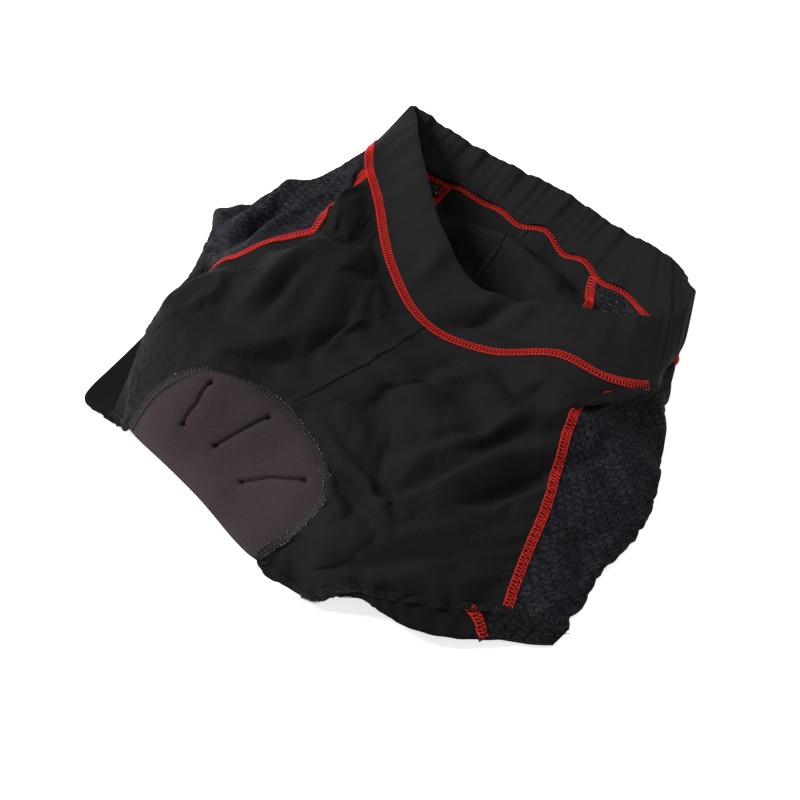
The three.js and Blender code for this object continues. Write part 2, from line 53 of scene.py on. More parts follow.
LEFT_ROWS = np.array([
    [[25, 268, 46], [66, 283, 46], [98, 297, 50], [125, 312, 46], [143, 337, 40],
     [146, 366, 38], [115, 392, 28], [62, 402, 22], [27, 410, 22], [-8, 415, 24]],
    [[22, 216, 45], [72, 226, 43], [115, 247, 53], [150, 254, 49], [171, 282, 32],
     [170, 316, 17], [146, 347, 12], [61, 370, 7], [25, 376, 6], [-10, 380, 7]],
    [[25, 150, 60], [80, 180, 52], [125, 210, 50], [153, 221, 46], [178, 262, 24],
     [186, 291, 10], [155, 308, 0], [84, 320, 0], [38, 328, 0], [-8, 335, 0]],
    [[14, 80, 65], [70, 140, 58], [118, 165, 50], [167, 185, 38], [195, 215, 21],
     [208, 250, 8], [180, 256, 0], [90, 262, 0], [43, 266, 0], [-4, 270, 0]],
    [[74, 58, 55], [105, 85, 48], [143, 115, 42], [183, 150, 30], [212, 175, 17],
     [230, 200, 7], [202, 197, 0], [95, 185, 0], [49, 180, 0], [3, 175, 0]],
    [[80, 25, 42], [112, 45, 42], [150, 78, 38], [195, 115, 25], [222, 132, 14],
     [238, 150, 6], [212, 141, 0], [145, 118, 0], [112, 106, 0], [80, 95, 0]],
    [[68, -3, 25], [105, 15, 33], [148, 45, 33], [203, 92, 18], [226, 100, 11],
     [242, 112, 5], [215, 98, 0], [140, 58, 0], [104, 32, 3], [68, -3, 25]],
    [[100, 2, 12], [128, 16, 28], [160, 38, 24], [208, 78, 13], [228, 86, 8],
     [243, 97, 4], [222, 85, 0], [158, 46, 0], [129, 24, 1], [100, 2, 12]],
    [[110, 8, 7], [132, 10, 22], [170, 29, 16], [210, 60, 8], [228, 71, 6],
     [243, 82, 4], [222, 70, 0], [166, 38, 0], [138, 20, 0], [110, 8, 7]],
], float)
RIGHT_ROWS = np.array([
    [[25, 268, 46], [-25, 288, 60], [-77, 330, 60], [-112, 362, 56], [-130, 382, 50],
     [-146, 398, 42], [-125, 404, 32], [-84, 408, 24], [-45, 412, 22], [-8, 415, 24]],
    [[22, 216, 45], [-32, 242, 51], [-85, 288, 51], [-116, 313, 48], [-132, 332, 46],
     [-143, 352, 34], [-130, 366, 20], [-86, 374, 10], [-45, 377, 7], [-10, 380, 7]],
    [[25, 150, 60], [-25, 190, 62], [-62, 222, 68], [-90, 242, 66], [-120, 288, 54],
     [-146, 311, 34], [-128, 322, 4], [-88, 328, 0], [-46, 332, 0], [-8, 335, 0]],
    [[14, 80, 65], [-20, 130, 72], [-60, 170, 76], [-95, 202, 72], [-130, 243, 54],
     [-162, 275, 30], [-140, 276, 3], [-96, 272, 0], [-50, 270, 0], [-4, 270, 0]],
    [[-33, 62, 80], [-52, 90, 82], [-76, 130, 83], [-102, 174, 79], [-140, 220, 50],
     [-184, 252, 18], [-162, 240, 1], [-112, 210, 0], [-55, 188, 0], [3, 175, 0]],
    [[-57, 38, 66], [-74, 60, 79], [-92, 94, 85], [-110, 136, 79], [-145, 190, 50],
     [-194, 224, 12], [-160, 202, 0], [-126, 152, 0], [-102, 120, 0], [-80, 95, 0]],
    [[-77, 22, 25], [-90, 44, 57], [-103, 80, 74], [-116, 124, 70], [-146, 172, 46],
     [-188, 212, 9], [-150, 182, 0], [-124, 122, 0], [-105, 76, 1], [-77, 22, 25]],
    [[-93, 27, 12], [-98, 50, 46], [-108, 83, 64], [-121, 119, 60], [-147, 168, 41],
     [-181, 198, 8], [-152, 164, 0], [-137, 112, 0], [-122, 64, 0], [-93, 27, 12]],
    [[-108, 30, 6], [-108, 52, 31], [-118, 81, 48], [-130, 110, 44], [-152, 156, 28],
     [-175, 183, 7], [-166, 152, 0], [-154, 108, 0], [-142, 58, 0], [-108, 30, 6]],
], float)


def glide(a, b, c, d, f):
    return 0.5 * (2 * b + (c - a) * f + (2 * a - 5 * b + 4 * c - d) * f * f
                  + (3 * b - a - 3 * c + d) * f ** 3)


def along_rows(half, other, us):
    lines = []
    for r, row in enumerate(half):
        points, u = row, us
        if r < 2:
            points = np.concatenate([other[r][1:2], row, other[r][8:9]])
            u = us + 1
        first = 2 * points[:1] - points[1:2]
        last = 2 * points[-1:] - points[-2:-1]
        points = np.concatenate([first, points, last])
        i = np.clip(np.floor(u).astype(int), 0, len(points) - 4)
        f = (u - i)[:, None]
        lines.append(glide(points[i], points[i + 1], points[i + 2], points[i + 3], f))
    return lines


def lie(half, other, us, vs):
    lines = along_rows(half, other, us)
    front = np.clip(1 - us, 0, 1)[:, None]
    back = np.clip(us - 8, 0, 1)[:, None]
    out = np.empty((len(vs), len(us), 3))
    for j, v in enumerate(vs):
        i = int(np.clip(np.searchsorted(ROW_AT, v) - 1, 0, len(lines) - 2))
        f = (v - ROW_AT[i]) / (ROW_AT[i + 1] - ROW_AT[i])
        b, c = lines[i], lines[i + 1]
        a = lines[i - 1] if i > 0 else 2 * b - c
        d = lines[i + 2] if i + 2 < len(lines) else 2 * c - b
        if i == 2:
            d = d * (1 - front) + (2 * c - b) * front
        if i == 3:
            a = a * (1 - front) + other[4][0] * front
            d = d * (1 - back) + (2 * c - b) * back
        if i == 4:
            a = a * (1 - back) + other[5][9] * back
        out[j] = glide(a, b, c, d, f)
    out[..., 2] = np.maximum(out[..., 2], FLOOR)
    return out


def fade(values, start, reach):
    """Rises from 0 at start to 1 at start + reach; with a negative reach it falls off instead."""
    return np.clip((values - start) / reach, 0, 1)


def bell(values, middle, reach):
    return np.exp(-((values - middle) / reach) ** 2)


# Folds the cloth has fallen into: a line across the front layer, how far it stands up, and
# how wide it is before and behind the line
FRONT_FOLDS = [
    ([(38, 84), (66, 78), (96, 74), (118, 64)], 6.5, 7, 9),
    ([(60, 62), (88, 62), (112, 56)], -4.5, 7, 8),
    ([(94, 102), (112, 124), (126, 156), (133, 190)], 10.0, 7, 9),
    ([(112, 124), (128, 154), (140, 188)], -9.0, 6, 6),
    ([(108, 56), (131, 98), (146, 146), (164, 196)], 13.0, 7, 10),
    ([(128, 86), (150, 126), (166, 168), (176, 200)], -10.0, 7, 8),
    ([(84, 20), (118, 44), (158, 86)], 6.0, 8, 10),
    ([(90, 10), (126, 34), (166, 76)], -6.5, 7, 8),
    ([(130, 40), (168, 66), (196, 92)], 3.5, 9, 10),
    ([(-62, 90), (-71, 112), (-80, 132)], -5.5, 7, 7),
    ([(-56, 112), (-64, 146), (-72, 192), (-82, 238)], 6.5, 8, 8),
    ([(-46, 120), (-54, 152), (-60, 196)], -5.0, 6, 6),
    ([(-38, 126), (-52, 164), (-66, 214)], 4.5, 7, 7),
    ([(-14, 130), (-32, 176), (-52, 226)], 3.4, 9, 10),
    ([(0, 120), (-14, 168), (-30, 214)], -2.5, 9, 9),
    ([(-88, 150), (-96, 190), (-100, 250)], 3.5, 9, 9),
    ([(60, 130), (78, 168), (84, 214)], 4.0, 10, 10),
    ([(44, 120), (56, 160), (60, 206)], -3.0, 9, 9),
    ([(92, 236), (122, 226), (150, 222)], 5.0, 7, 8),
    ([(84, 216), (112, 204), (140, 206)], -5.0, 7, 8),
    ([(126, 186), (150, 204), (168, 226)], 6.0, 8, 8),
    ([(-112, 176), (-122, 206), (-124, 246), (-119, 292)], 7.0, 7, 8),
    ([(-134, 180), (-140, 214), (-138, 252)], -7.0, 7, 7),
    ([(-150, 186), (-157, 220), (-150, 262), (-136, 292)], 8.0, 7, 8),
    ([(-170, 200), (-172, 232), (-160, 268)], -4.0, 6, 6),
    ([(204, 150), (212, 200), (196, 244)], 2.5, 10, 10),
    ([(186, 262), (180, 282), (172, 300)], 4.0, 7, 8),
]
BACK_FOLDS = [
    ([(-80, 318), (-50, 334), (-13, 344), (24, 338), (70, 326), (112, 312)], 20.0, 14, 15),
    ([(-40, 300), (-6, 312), (30, 306), (74, 300)], 8.0, 8, 8),
]
BAND_FOLDS = [
    ([(60, 280), (52, 262), (44, 244), (34, 228)], -12.0, 5, 8),
    ([(76, 276), (68, 262), (60, 248)], 5.0, 7, 7),
    ([(-14, 284), (-8, 262), (-6, 240)], 4.0, 7, 8),
    ([(30, 262), (60, 270), (92, 268), (128, 272)], 5.0, 8, 8),
    ([(48, 246), (88, 250), (122, 268)], -4.5, 7, 7),
    ([(118, 330), (134, 318), (144, 296)], 3.5, 8, 8),
    ([(-60, 322), (-74, 306), (-84, 290)], 2.8, 8, 8),
    ([(-96, 350), (-108, 336), (-114, 320)], -2.5, 7, 7),
]
# Places where the cloth leans or bags out sideways: u and v, their reach, and the way it moves
BAGS = {
    "left": [
        (2.80, 1.30, 0.45, 0.22, (4, -2, 4)),
        (4.90, 0.98, 0.55, 0.22, (-8, -5, 2)),
        (5.00, 1.60, 0.80, 0.30, (-3, 0, 0)),
        (5.00, 4.10, 0.80, 0.60, (-5, -1, 0)),
        (5.00, 5.30, 0.80, 0.35, (-4, 0, 0)),
        (8.15, 7.00, 0.75, 1.20, (-6, 18, 0)),
        (2.50, 7.00, 0.75, 0.60, (3, -5, -1)),
        (1.00, 7.00, 0.60, 0.80, (0, 8, 1)),
        (6.30, 0.00, 1.00, 0.60, (-2, 5, 2)),
        (9.00, 0.00, 0.90, 0.60, (3, -4, 0)),
    ],
    "right": [
        (2.52, 1.34, 0.32, 0.20, (-11, 7, 9)),
        (2.45, 5.20, 0.35, 0.90, (-3, 3, 4)),
        (3.20, 5.30, 0.60, 0.75, (5, 1, -14)),
        (3.00, 4.20, 0.50, 0.70, (0, 6, 3)),
        (8.40, 7.00, 0.45, 1.00, (-8, -12, 0)),
        (9.00, 0.00, 0.90, 0.60, (3, -4, 0)),
        (5.00, 4.15, 0.70, 0.55, (-5, 6, 3)),
        (5.00, 1.82, 0.60, 0.12, (3, -3, -4)),
        (5.00, 2.12, 0.60, 0.18, (-1, 2, 3)),
        (4.60, 3.00, 0.50, 0.22, (2, -2, -4)),
    ],
}


def fold_lift(x, y, fold):
    points, height, near, far = fold
    points = np.array(points, float)
    best = np.full(x.shape, 1e9)
    side = np.zeros(x.shape)
    share = np.zeros(x.shape)
    count = len(points) - 1
    for k in range(count):
        a, b = points[k], points[k + 1]
        d = b - a
        length = np.hypot(*d)
        t = np.clip(((x - a[0]) * d[0] + (y - a[1]) * d[1]) / length ** 2, 0, 1)
        px, py = x - a[0] - t * d[0], y - a[1] - t * d[1]
        off = np.hypot(px, py)
        closer = off < best
        best = np.where(closer, off, best)
        side = np.where(closer, np.sign(d[0] * py - d[1] * px), side)
        share = np.where(closer, (k + t) / count, share)
    width = np.where(side > 0, near, far)
    return height * bell(best, 0, width) * (0.35 + 0.65 * np.sin(np.pi * share))


def fold_lifts(x, y, folds):
    return sum(fold_lift(x, y, fold) for fold in folds)


CLOTH_STEP = 12
cloth_us = np.linspace(0, 9, 9 * CLOTH_STEP + 1)
cloth_vs = np.linspace(0, 7, 7 * CLOTH_STEP + 1)
every_u, every_v = cloth_us[None, :], cloth_vs[:, None]
FOLD_SHARE = 1.2
CALM = {"left": 0.7, "right": 0}
halves = {}
for who, rows, other in (("left", LEFT_ROWS, RIGHT_ROWS), ("right", RIGHT_ROWS, LEFT_ROWS)):
    points = lie(rows, other, cloth_us, cloth_vs)
    x, y = points[..., 0].copy(), points[..., 1].copy()
    below_band = fade(every_v, 1.08, 0.25)
    # The front layer's folds die out at the outer fold, the band, the hem and the pad, and the
    # left front side seam keeps them low.
    lift = FOLD_SHARE * (1 - CALM[who] * bell(every_u, 3, 0.3)) * fold_lifts(x, y, FRONT_FOLDS)
    lift = lift * fade(every_u, 5.3, -0.8) * below_band
    points[..., 2] += lift * fade(every_v, 7, -1.0) * fade(every_u, 0, 0.7)
    band = fade(every_u, 4.4, -0.6) * fade(every_v, 1.3, -0.3)
    points[..., 2] += fold_lifts(x, y, BAND_FOLDS) * band
    near_waist = below_band * fade(every_v, 2.2, -0.6)
    points[..., 2] += fold_lifts(x, y, BACK_FOLDS) * fade(every_u, 6.0, 0.8) * near_waist
    for u0, v0, reach_u, reach_v, way in BAGS[who]:
        near = bell(every_u, u0, reach_u) * bell(every_v, v0, reach_v)
        points += near[..., None] * np.array(way, float)
    # The gathered back of the waist lies in small waves.
    slack = fade(every_u, 5.2, 0.8) * bell(every_v, 1, 0.35)
    points[..., 2] += slack * (1.6 * np.sin(x / 6.1 + 0.6) + 1.4 * np.sin(x / 9.7 + 2.0) + 1.5)
    points[..., 1] += slack * (2.2 * np.sin(x / 7.3 + 1.0) + 1.6 * np.sin(x / 12.1))
    points[..., 2] = np.maximum(points[..., 2], FLOOR)
    halves[who] = points


# The cloth settles
# The two halves are sewn into one tube of stretch knit and let go for a moment. It is cut a
# little larger than the room it lies in, so it creeps into small soft wrinkles, held where the
# waistband, the pad and the surface hold it.
GROWTH = 0.035
CREEP = 7.0
SETTLE_STEPS = 24
RESTING = 4.0


def settle():
    rows, cols = len(cloth_vs), len(cloth_us)
    left, right = halves["left"], halves["right"]
    front, seat, leg = PAD_TOP * CLOTH_STEP + 1, PAD_SEAT * CLOTH_STEP + 1, PAD_CORNER * CLOTH_STEP
    right[:front, 0] = left[:front, 0]
    right[:seat, -1] = left[:seat, -1]
    for half in (left, right):
        half[leg:, -1] = half[leg:, 0]
    both = np.stack([left, right])
    held = np.full(both.shape[:3], 0.02)
    for pull in (
        fade(every_v, 1.28, -0.18),
        0.25 * fade(every_v, 5.6, 0.4),
        0.2 * fade(every_u, 4.2, 0.6),
        1.0 * ((every_u < 0.02) & (every_v >= PAD_TOP)),
        1.0 * ((every_u > 8.98) & (every_v >= PAD_SEAT)),
        0.8 * fade(every_u, 0.7, -0.55) * fade(every_v, 2.2, -0.2),
    ):
        held = np.maximum(held, pull)
    held[0] = np.maximum(held[0], 0.5 * bell(every_u, 3, 0.15))
    held[1] = np.maximum(held[1], 0.5 * fade(every_v, 3.4, 0.8) * fade(every_u, 1.9, -0.8))
    held = np.where((both[..., 2] < RESTING) & (every_u > 4.5), 1.0, held)
    flat = both.reshape(-1, 3)
    _, first, sewn = np.unique(np.round(flat, 1), axis=0, return_index=True, return_inverse=True)
    sewn = sewn.reshape(-1)
    weight = np.zeros(len(first))
    np.maximum.at(weight, sewn, held.reshape(-1))
    k = sewn.reshape(2, rows, cols)
    quads = np.stack([k[:, :-1, :-1], k[:, :-1, 1:], k[:, 1:, 1:], k[:, 1:, :-1]], -1).reshape(-1, 4)
    quads = [q for q in quads.tolist() if len(set(q)) == 4]
    mesh = bpy.data.meshes.new("loose_cloth")
    mesh.from_pydata((flat[first] * MM).tolist(), [], quads)
    cloth = bpy.data.objects.new("loose_cloth", mesh)
    bpy.context.scene.collection.objects.link(cloth)
    group = cloth.vertex_groups.new(name="held")
    for level in np.unique(np.round(weight, 2)):
        group.add(np.flatnonzero(np.round(weight, 2) == level).tolist(), float(level), "REPLACE")
    cloth.modifiers.new("Cloth", "CLOTH")
    setup = cloth.modifiers["Cloth"].settings
    setup.quality = 6
    setup.mass = 0.15
    setup.tension_stiffness = setup.compression_stiffness = 12
    setup.shear_stiffness = 4
    setup.bending_stiffness = 0.15
    setup.vertex_group_mass = "held"
    setup.pin_stiffness = 0.6
    setup.shrink_min = -GROWTH
    setup.effector_weights.gravity = 0
    cloth.modifiers["Cloth"].point_cache.frame_end = SETTLE_STEPS
    for step in range(1, SETTLE_STEPS + 1):
        bpy.context.scene.frame_set(step)
    seen = cloth.evaluated_get(bpy.context.evaluated_depsgraph_get())
    out = np.empty(len(first) * 3)
    seen.data.vertices.foreach_get("co", out)
    bpy.data.objects.remove(cloth, do_unlink=True)
    bpy.context.scene.frame_set(1)
    moved = out.reshape(-1, 3)[sewn].reshape(both.shape) / MM - both
    far = np.linalg.norm(moved, axis=-1, keepdims=True)
    moved *= np.minimum(1, CREEP / np.maximum(far, 1e-6))
    both += moved
    both[..., 2] = np.maximum(both[..., 2], FLOOR)
    halves["left"], halves["right"] = both


settle()


# The sewn centre front is stiff, so the cloth lies nearly straight across it.
STIFF = 4
for j in range(CLOTH_STEP, PAD_TOP * CLOTH_STEP):
    pull = 0.85 * fade(cloth_vs[j], 2.05, -0.3) * fade(cloth_vs[j], 0.95, 0.2)
    a, b = halves["right"][j, STIFF].copy(), halves["left"][j, STIFF].copy()
    for k in range(STIFF + 1):
        for who, t in (("left", 0.5 + k / 8), ("right", 0.5 - k / 8)):
            halves[who][j, k] += pull * (a + (b - a) * t - halves[who][j, k])


def spline_weights(index, count):
    i = np.clip(np.floor(index).astype(int), 0, count - 2)
    f = index - i
    picks = np.stack([np.clip(i + k, 0, count - 1) for k in (-1, 0, 1, 2)])
    w = 0.5 * np.stack([-f + 2 * f * f - f ** 3, 2 - 5 * f * f + 3 * f ** 3,
                        f + 4 * f * f - 3 * f ** 3, -f * f + f ** 3])
    return picks, w


def on_cloth(who, us, vs):
    """Points of the cloth, in millimetres, at matching lists of u and v."""
    us, vs = np.broadcast_arrays(np.asarray(us, float), np.asarray(vs, float))
    grid = halves[who]
    iv, wv = spline_weights(vs * CLOTH_STEP, grid.shape[0])
    iu, wu = spline_weights(us * CLOTH_STEP, grid.shape[1])
    out = np.zeros(us.shape + (3,))
    for a in range(4):
        for b in range(4):
            out += (wv[a] * wu[b])[..., None] * grid[iv[a], iu[b]]
    out[..., 2] = np.maximum(out[..., 2], FLOOR)
    return out


def on_ring(us, vs):
    """The waist runs through both halves: negative u is the wearer's right."""
    us, vs = np.broadcast_arrays(np.asarray(us, float), np.asarray(vs, float))
    left = on_cloth("left", np.abs(us), vs)
    right = on_cloth("right", np.abs(us), vs)
    return np.where((us < 0)[..., None], right, left)


def side_seam_u(who, v):
    """The left front side seam runs out along the waist at its top, under a fold of the knit."""
    out = fade(np.asarray(v, float), 1.45, -0.45)
    return 3 + 0.95 * out if who == "left" else 3 + 0 * out


def unit(a):
    return a / np.maximum(np.linalg.norm(a, axis=-1, keepdims=True), 1e-9)


def grid_normals(grid):
    du = np.gradient(grid, axis=1)
    dv = np.gradient(grid, axis=0)
    return unit(np.cross(du, dv))


def arc_map(grid):
    """Lengths along the cloth's own threads, in metres, for its pattern."""
    across = np.linalg.norm(np.diff(grid, axis=1), axis=-1)
    down = np.linalg.norm(np.diff(grid, axis=0), axis=-1)
    s = np.concatenate([np.zeros((grid.shape[0], 1)), np.cumsum(across, axis=1)], axis=1)
    t = np.concatenate([np.zeros((1, grid.shape[1])), np.cumsum(down, axis=0)], axis=0)
    return np.stack([s, t], axis=-1) * MM


def make_piece(name, points, faces, maps, material):
    """points in millimetres; maps holds one pattern coordinate for each point."""
    mesh = bpy.data.meshes.new(name)
    mesh.from_pydata(((points - CENTRE) * MM).tolist(), [], faces)
    layer = mesh.uv_layers.new(name="cloth")
    loops = np.array([l.vertex_index for l in mesh.loops])
    layer.data.foreach_set("uv", np.asarray(maps, float)[loops].ravel())
    mesh.polygons.foreach_set("use_smooth", [True] * len(mesh.polygons))
    mesh.materials.append(material)
    mesh.update()
    piece = bpy.data.objects.new(name, mesh)
    bpy.context.scene.collection.objects.link(piece)
    return piece


LOWEST = 0.08


def shell(name, grid, side, out, inn, material, maps=None):
    """A closed sheet about a grid: out and inn are its faces' distances along the outward side."""
    n = grid_normals(grid) * side
    out = np.broadcast_to(out, grid.shape[:2])[..., None]
    inn = np.broadcast_to(inn, grid.shape[:2])[..., None]
    outer, inner = grid + n * out, grid + n * inn
    outer[..., 2] = np.maximum(outer[..., 2], LOWEST)
    inner[..., 2] = np.maximum(inner[..., 2], LOWEST)
    rows, cols = grid.shape[:2]
    maps = arc_map(grid) if maps is None else maps
    k = np.arange(rows * cols).reshape(rows, cols)
    a, b, c, d = k[:-1, :-1], k[:-1, 1:], k[1:, 1:], k[1:, :-1]
    top = np.stack([a, b, c, d], -1).reshape(-1, 4)
    if side < 0:
        top = top[:, ::-1]
    low = top[:, ::-1] + rows * cols
    edge = np.concatenate([k[0, :], k[1:, -1], k[-1, -2::-1], k[-2:0:-1, 0]])
    nxt = np.roll(edge, -1)
    rim = np.stack([nxt, edge, edge + rows * cols, nxt + rows * cols], -1)
    if side < 0:
        rim = rim[:, ::-1]
    faces = np.concatenate([top, low, rim]).tolist()
    points = np.concatenate([outer.reshape(-1, 3), inner.reshape(-1, 3)])
    coords = np.concatenate([maps.reshape(-1, 2)] * 2)
    return make_piece(name, points, faces, coords, material)


def spread(who, u0, u1, v0, v1, across, along):
    """Even values of u and v over part of a half; a side given as None is the front side seam."""
    vs = np.linspace(v0, v1, along)
    low = side_seam_u(who, vs) if u0 is None else np.full(along, float(u0))
    high = side_seam_u(who, vs) if u1 is None else np.full(along, float(u1))
    us = low[:, None] + (high - low)[:, None] * np.linspace(0, 1, across)
    return us, vs[:, None] + np.zeros(across)


def cloth_grid(who, u0, u1, v0, v1, step=3.0):
    """An even grid of about step millimetres over part of a half."""
    probe = on_cloth(who, *spread(who, u0, u1, v0, v1, 25, 25))
    wide = np.linalg.norm(np.diff(probe, axis=1), axis=-1).sum(1).max()
    long = np.linalg.norm(np.diff(probe, axis=0), axis=-1).sum(0).max()
    across, along = max(3, int(wide / step) + 1), max(3, int(long / step) + 1)
    return on_cloth(who, *spread(who, u0, u1, v0, v1, across, along))


def sheet_area(grid):
    a = np.cross(grid[1:, 1:] - grid[:-1, :-1], grid[1:, :-1] - grid[:-1, 1:])
    return float(np.linalg.norm(a, axis=-1).sum() / 2) * MM * MM


LEAST_SHARE = 0.31


def declare_sheet(grid):
    """The flat cut is the sheet's length along its longest thread each way."""
    maps = arc_map(grid)
    wide, long = float(maps[:, -1, 0].max()), float(maps[-1, :, 1].max())
    area = min(sheet_area(grid), wide * long)
    area = max(area, LEAST_SHARE * wide * long)


def nodes_of(material):
    material.use_nodes = True
    tree = material.node_tree
    tree.nodes.clear()
    out = tree.nodes.new("ShaderNodeOutputMaterial")
    shader = tree.nodes.new("ShaderNodeBsdfPrincipled")
    tree.links.new(shader.outputs[0], out.inputs[0])
    return tree, shader


def add_node(tree, kind, values=(), **props):
    node = tree.nodes.new(kind)
    for key, value in props.items():
        setattr(node, key, value)
    for key, value in dict(values).items():
        if isinstance(value, bpy.types.NodeSocket):
            tree.links.new(value, node.inputs[key])
        else:
            node.inputs[key].default_value = value
    return node


def maths(tree, operation, *values):
    return add_node(tree, "ShaderNodeMath", dict(enumerate(values)), operation=operation).outputs[0]


def noise(tree, place, scale, detail=2.0, rough=0.5):
    values = {"Vector": place, "Scale": scale, "Detail": detail, "Roughness": rough}
    return add_node(tree, "ShaderNodeTexNoise", values).outputs[0]


def spanned(tree, value, low, high, to_low, to_high, **props):
    values = {0: value, 1: low, 2: high, 3: to_low, 4: to_high}
    return add_node(tree, "ShaderNodeMapRange", values, **props).outputs[0]


def colour_by(tree, shader, share, dark, light, clamp=True):
    """Base Color goes from dark to light with share, and past light where it isn't clamped."""
    tint = add_node(tree, "ShaderNodeMix", {0: share, 6: dark, 7: light}, data_type="RGBA",
                    clamp_factor=clamp)
    tree.links.new(tint.outputs[2], shader.inputs["Base Color"])
    return tint


def bump_by(tree, shader, height, strength, depth):
    values = {"Height": height, "Strength": strength, "Distance": depth * MM}
    bump = add_node(tree, "ShaderNodeBump", values)
    tree.links.new(bump.outputs[0], shader.inputs["Normal"])


def linear(r, g, b):
    def one(c):
        c /= 255
        return c / 12.92 if c <= 0.04045 else ((c + 0.055) / 1.055) ** 2.4
    return (one(r), one(g), one(b), 1.0)


# Stretch knit, as a pattern that several cloths share
# A fine jersey has columns of stitches; each stitch is a small hump about a millimetre wide.
TURNS = 6283.0


def knit_group():
    """Stitch is a column's width in millimetres; a sine makes one turn across it."""
    group = bpy.data.node_groups.new("Knit stitches", "ShaderNodeTree")
    face = group.interface
    for label, value in (("Stitch", 1.1), ("Ribs", 1.0), ("Mottle", 1.0)):
        socket = face.new_socket(label, in_out="INPUT", socket_type="NodeSocketFloat")
        socket.default_value = value
    face.new_socket("Height", in_out="OUTPUT", socket_type="NodeSocketFloat")
    face.new_socket("Shade", in_out="OUTPUT", socket_type="NodeSocketFloat")
    given = group.nodes.new("NodeGroupInput")
    result = group.nodes.new("NodeGroupOutput")
    uv = add_node(group, "ShaderNodeUVMap", uv_map="cloth").outputs[0]
    scale = maths(group, "DIVIDE", TURNS, given.outputs["Stitch"])
    wide = add_node(group, "ShaderNodeVectorMath", {0: uv, "Scale": scale}, operation="SCALE")
    split = add_node(group, "ShaderNodeSeparateXYZ", {0: wide.outputs[0]})
    column = maths(group, "SINE", split.outputs[0])
    bend = maths(group, "MULTIPLY", column, 1.3)
    wave = maths(group, "SINE", maths(group, "ADD", split.outputs[1], bend))
    rib = maths(group, "MULTIPLY", column, given.outputs["Ribs"])
    height = maths(group, "ADD", wave, rib)
    place = add_node(group, "ShaderNodeTexCoord").outputs["Object"]
    mottle = noise(group, place, 800.0, 3.0, 0.6)
    cloudy = maths(group, "ADD", mottle, noise(group, place, 22.0))
    centred = maths(group, "SUBTRACT", cloudy, 1.0)
    soft = maths(group, "MULTIPLY", centred, given.outputs["Mottle"])
    # The stitch humps are painted lighter and the hollows between them darker (painted shade of the
    # stitches), added to the cloth's own uneven mottle.
    lit = maths(group, "MULTIPLY_ADD", height, 0.22, soft)
    group.links.new(height, result.inputs["Height"])
    group.links.new(maths(group, "ADD", lit, 1.0), result.inputs["Shade"])
    return group


knit_stitches = knit_group()
BLACK = (0, 0, 0, 1)


def knit_material(name, colour, rough, stitch, ribs, mottle, depth):
    material = bpy.data.materials.new(name)
    tree, shader = nodes_of(material)
    values = {"Stitch": stitch, "Ribs": ribs, "Mottle": mottle}
    knit = add_node(tree, "ShaderNodeGroup", node_tree=knit_stitches)
    for label, value in values.items():
        knit.inputs[label].default_value = value
    colour_by(tree, shader, knit.outputs["Shade"], BLACK, linear(*colour), clamp=False)
    bump_by(tree, shader, knit.outputs["Height"], 0.6, depth)
    shader.inputs["Roughness"].default_value = rough
    shader.inputs["Specular IOR Level"].default_value = 0.1
    return material


# Front panels
# Black stretch knit, cut from the waist seam to the hem on each side of the centre front and
# round the pad. They lie uppermost, with soft folds, and the left one's edge is bent out over
# the top of the side seam.
knit = knit_material("black knit", (23, 23, 23), 0.8, 1.7, 0.8, 0.5, 0.16)
CLOTH_OUT, CLOTH_IN = 0.45, -0.45
FLAP = np.array([3.6, -4.2, 2.4])
for who, side in (("left", -1), ("right", 1)):
    grid = cloth_grid(who, 0, None, WAIST, STITCH)
    if who == "left":
        share = np.linspace(0, 1, grid.shape[1])[None, :]
        v = np.linspace(WAIST, STITCH, grid.shape[0])[:, None]
        bent = fade(share, 0.88, 0.12) * fade(v, 0.98, 0.08) * fade(v, 1.52, -0.08)
        grid = grid + bent[..., None] * FLAP
    panel = shell(f"{who}_front_knit", grid, side, CLOTH_OUT, CLOTH_IN, knit)
    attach(panel, "root")
    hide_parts(f"front_panel_{who}")
    declare_sheet(grid)


# Side panels
# Stretch mesh with short slots knitted in, every other row offset by half. Each panel wraps
# round the outer fold from the front side seam to the back one, and shows what lies under it.
SLOT_APART = (7.4, 4.4)
SLOT_REACH = (0.46, 1.35)


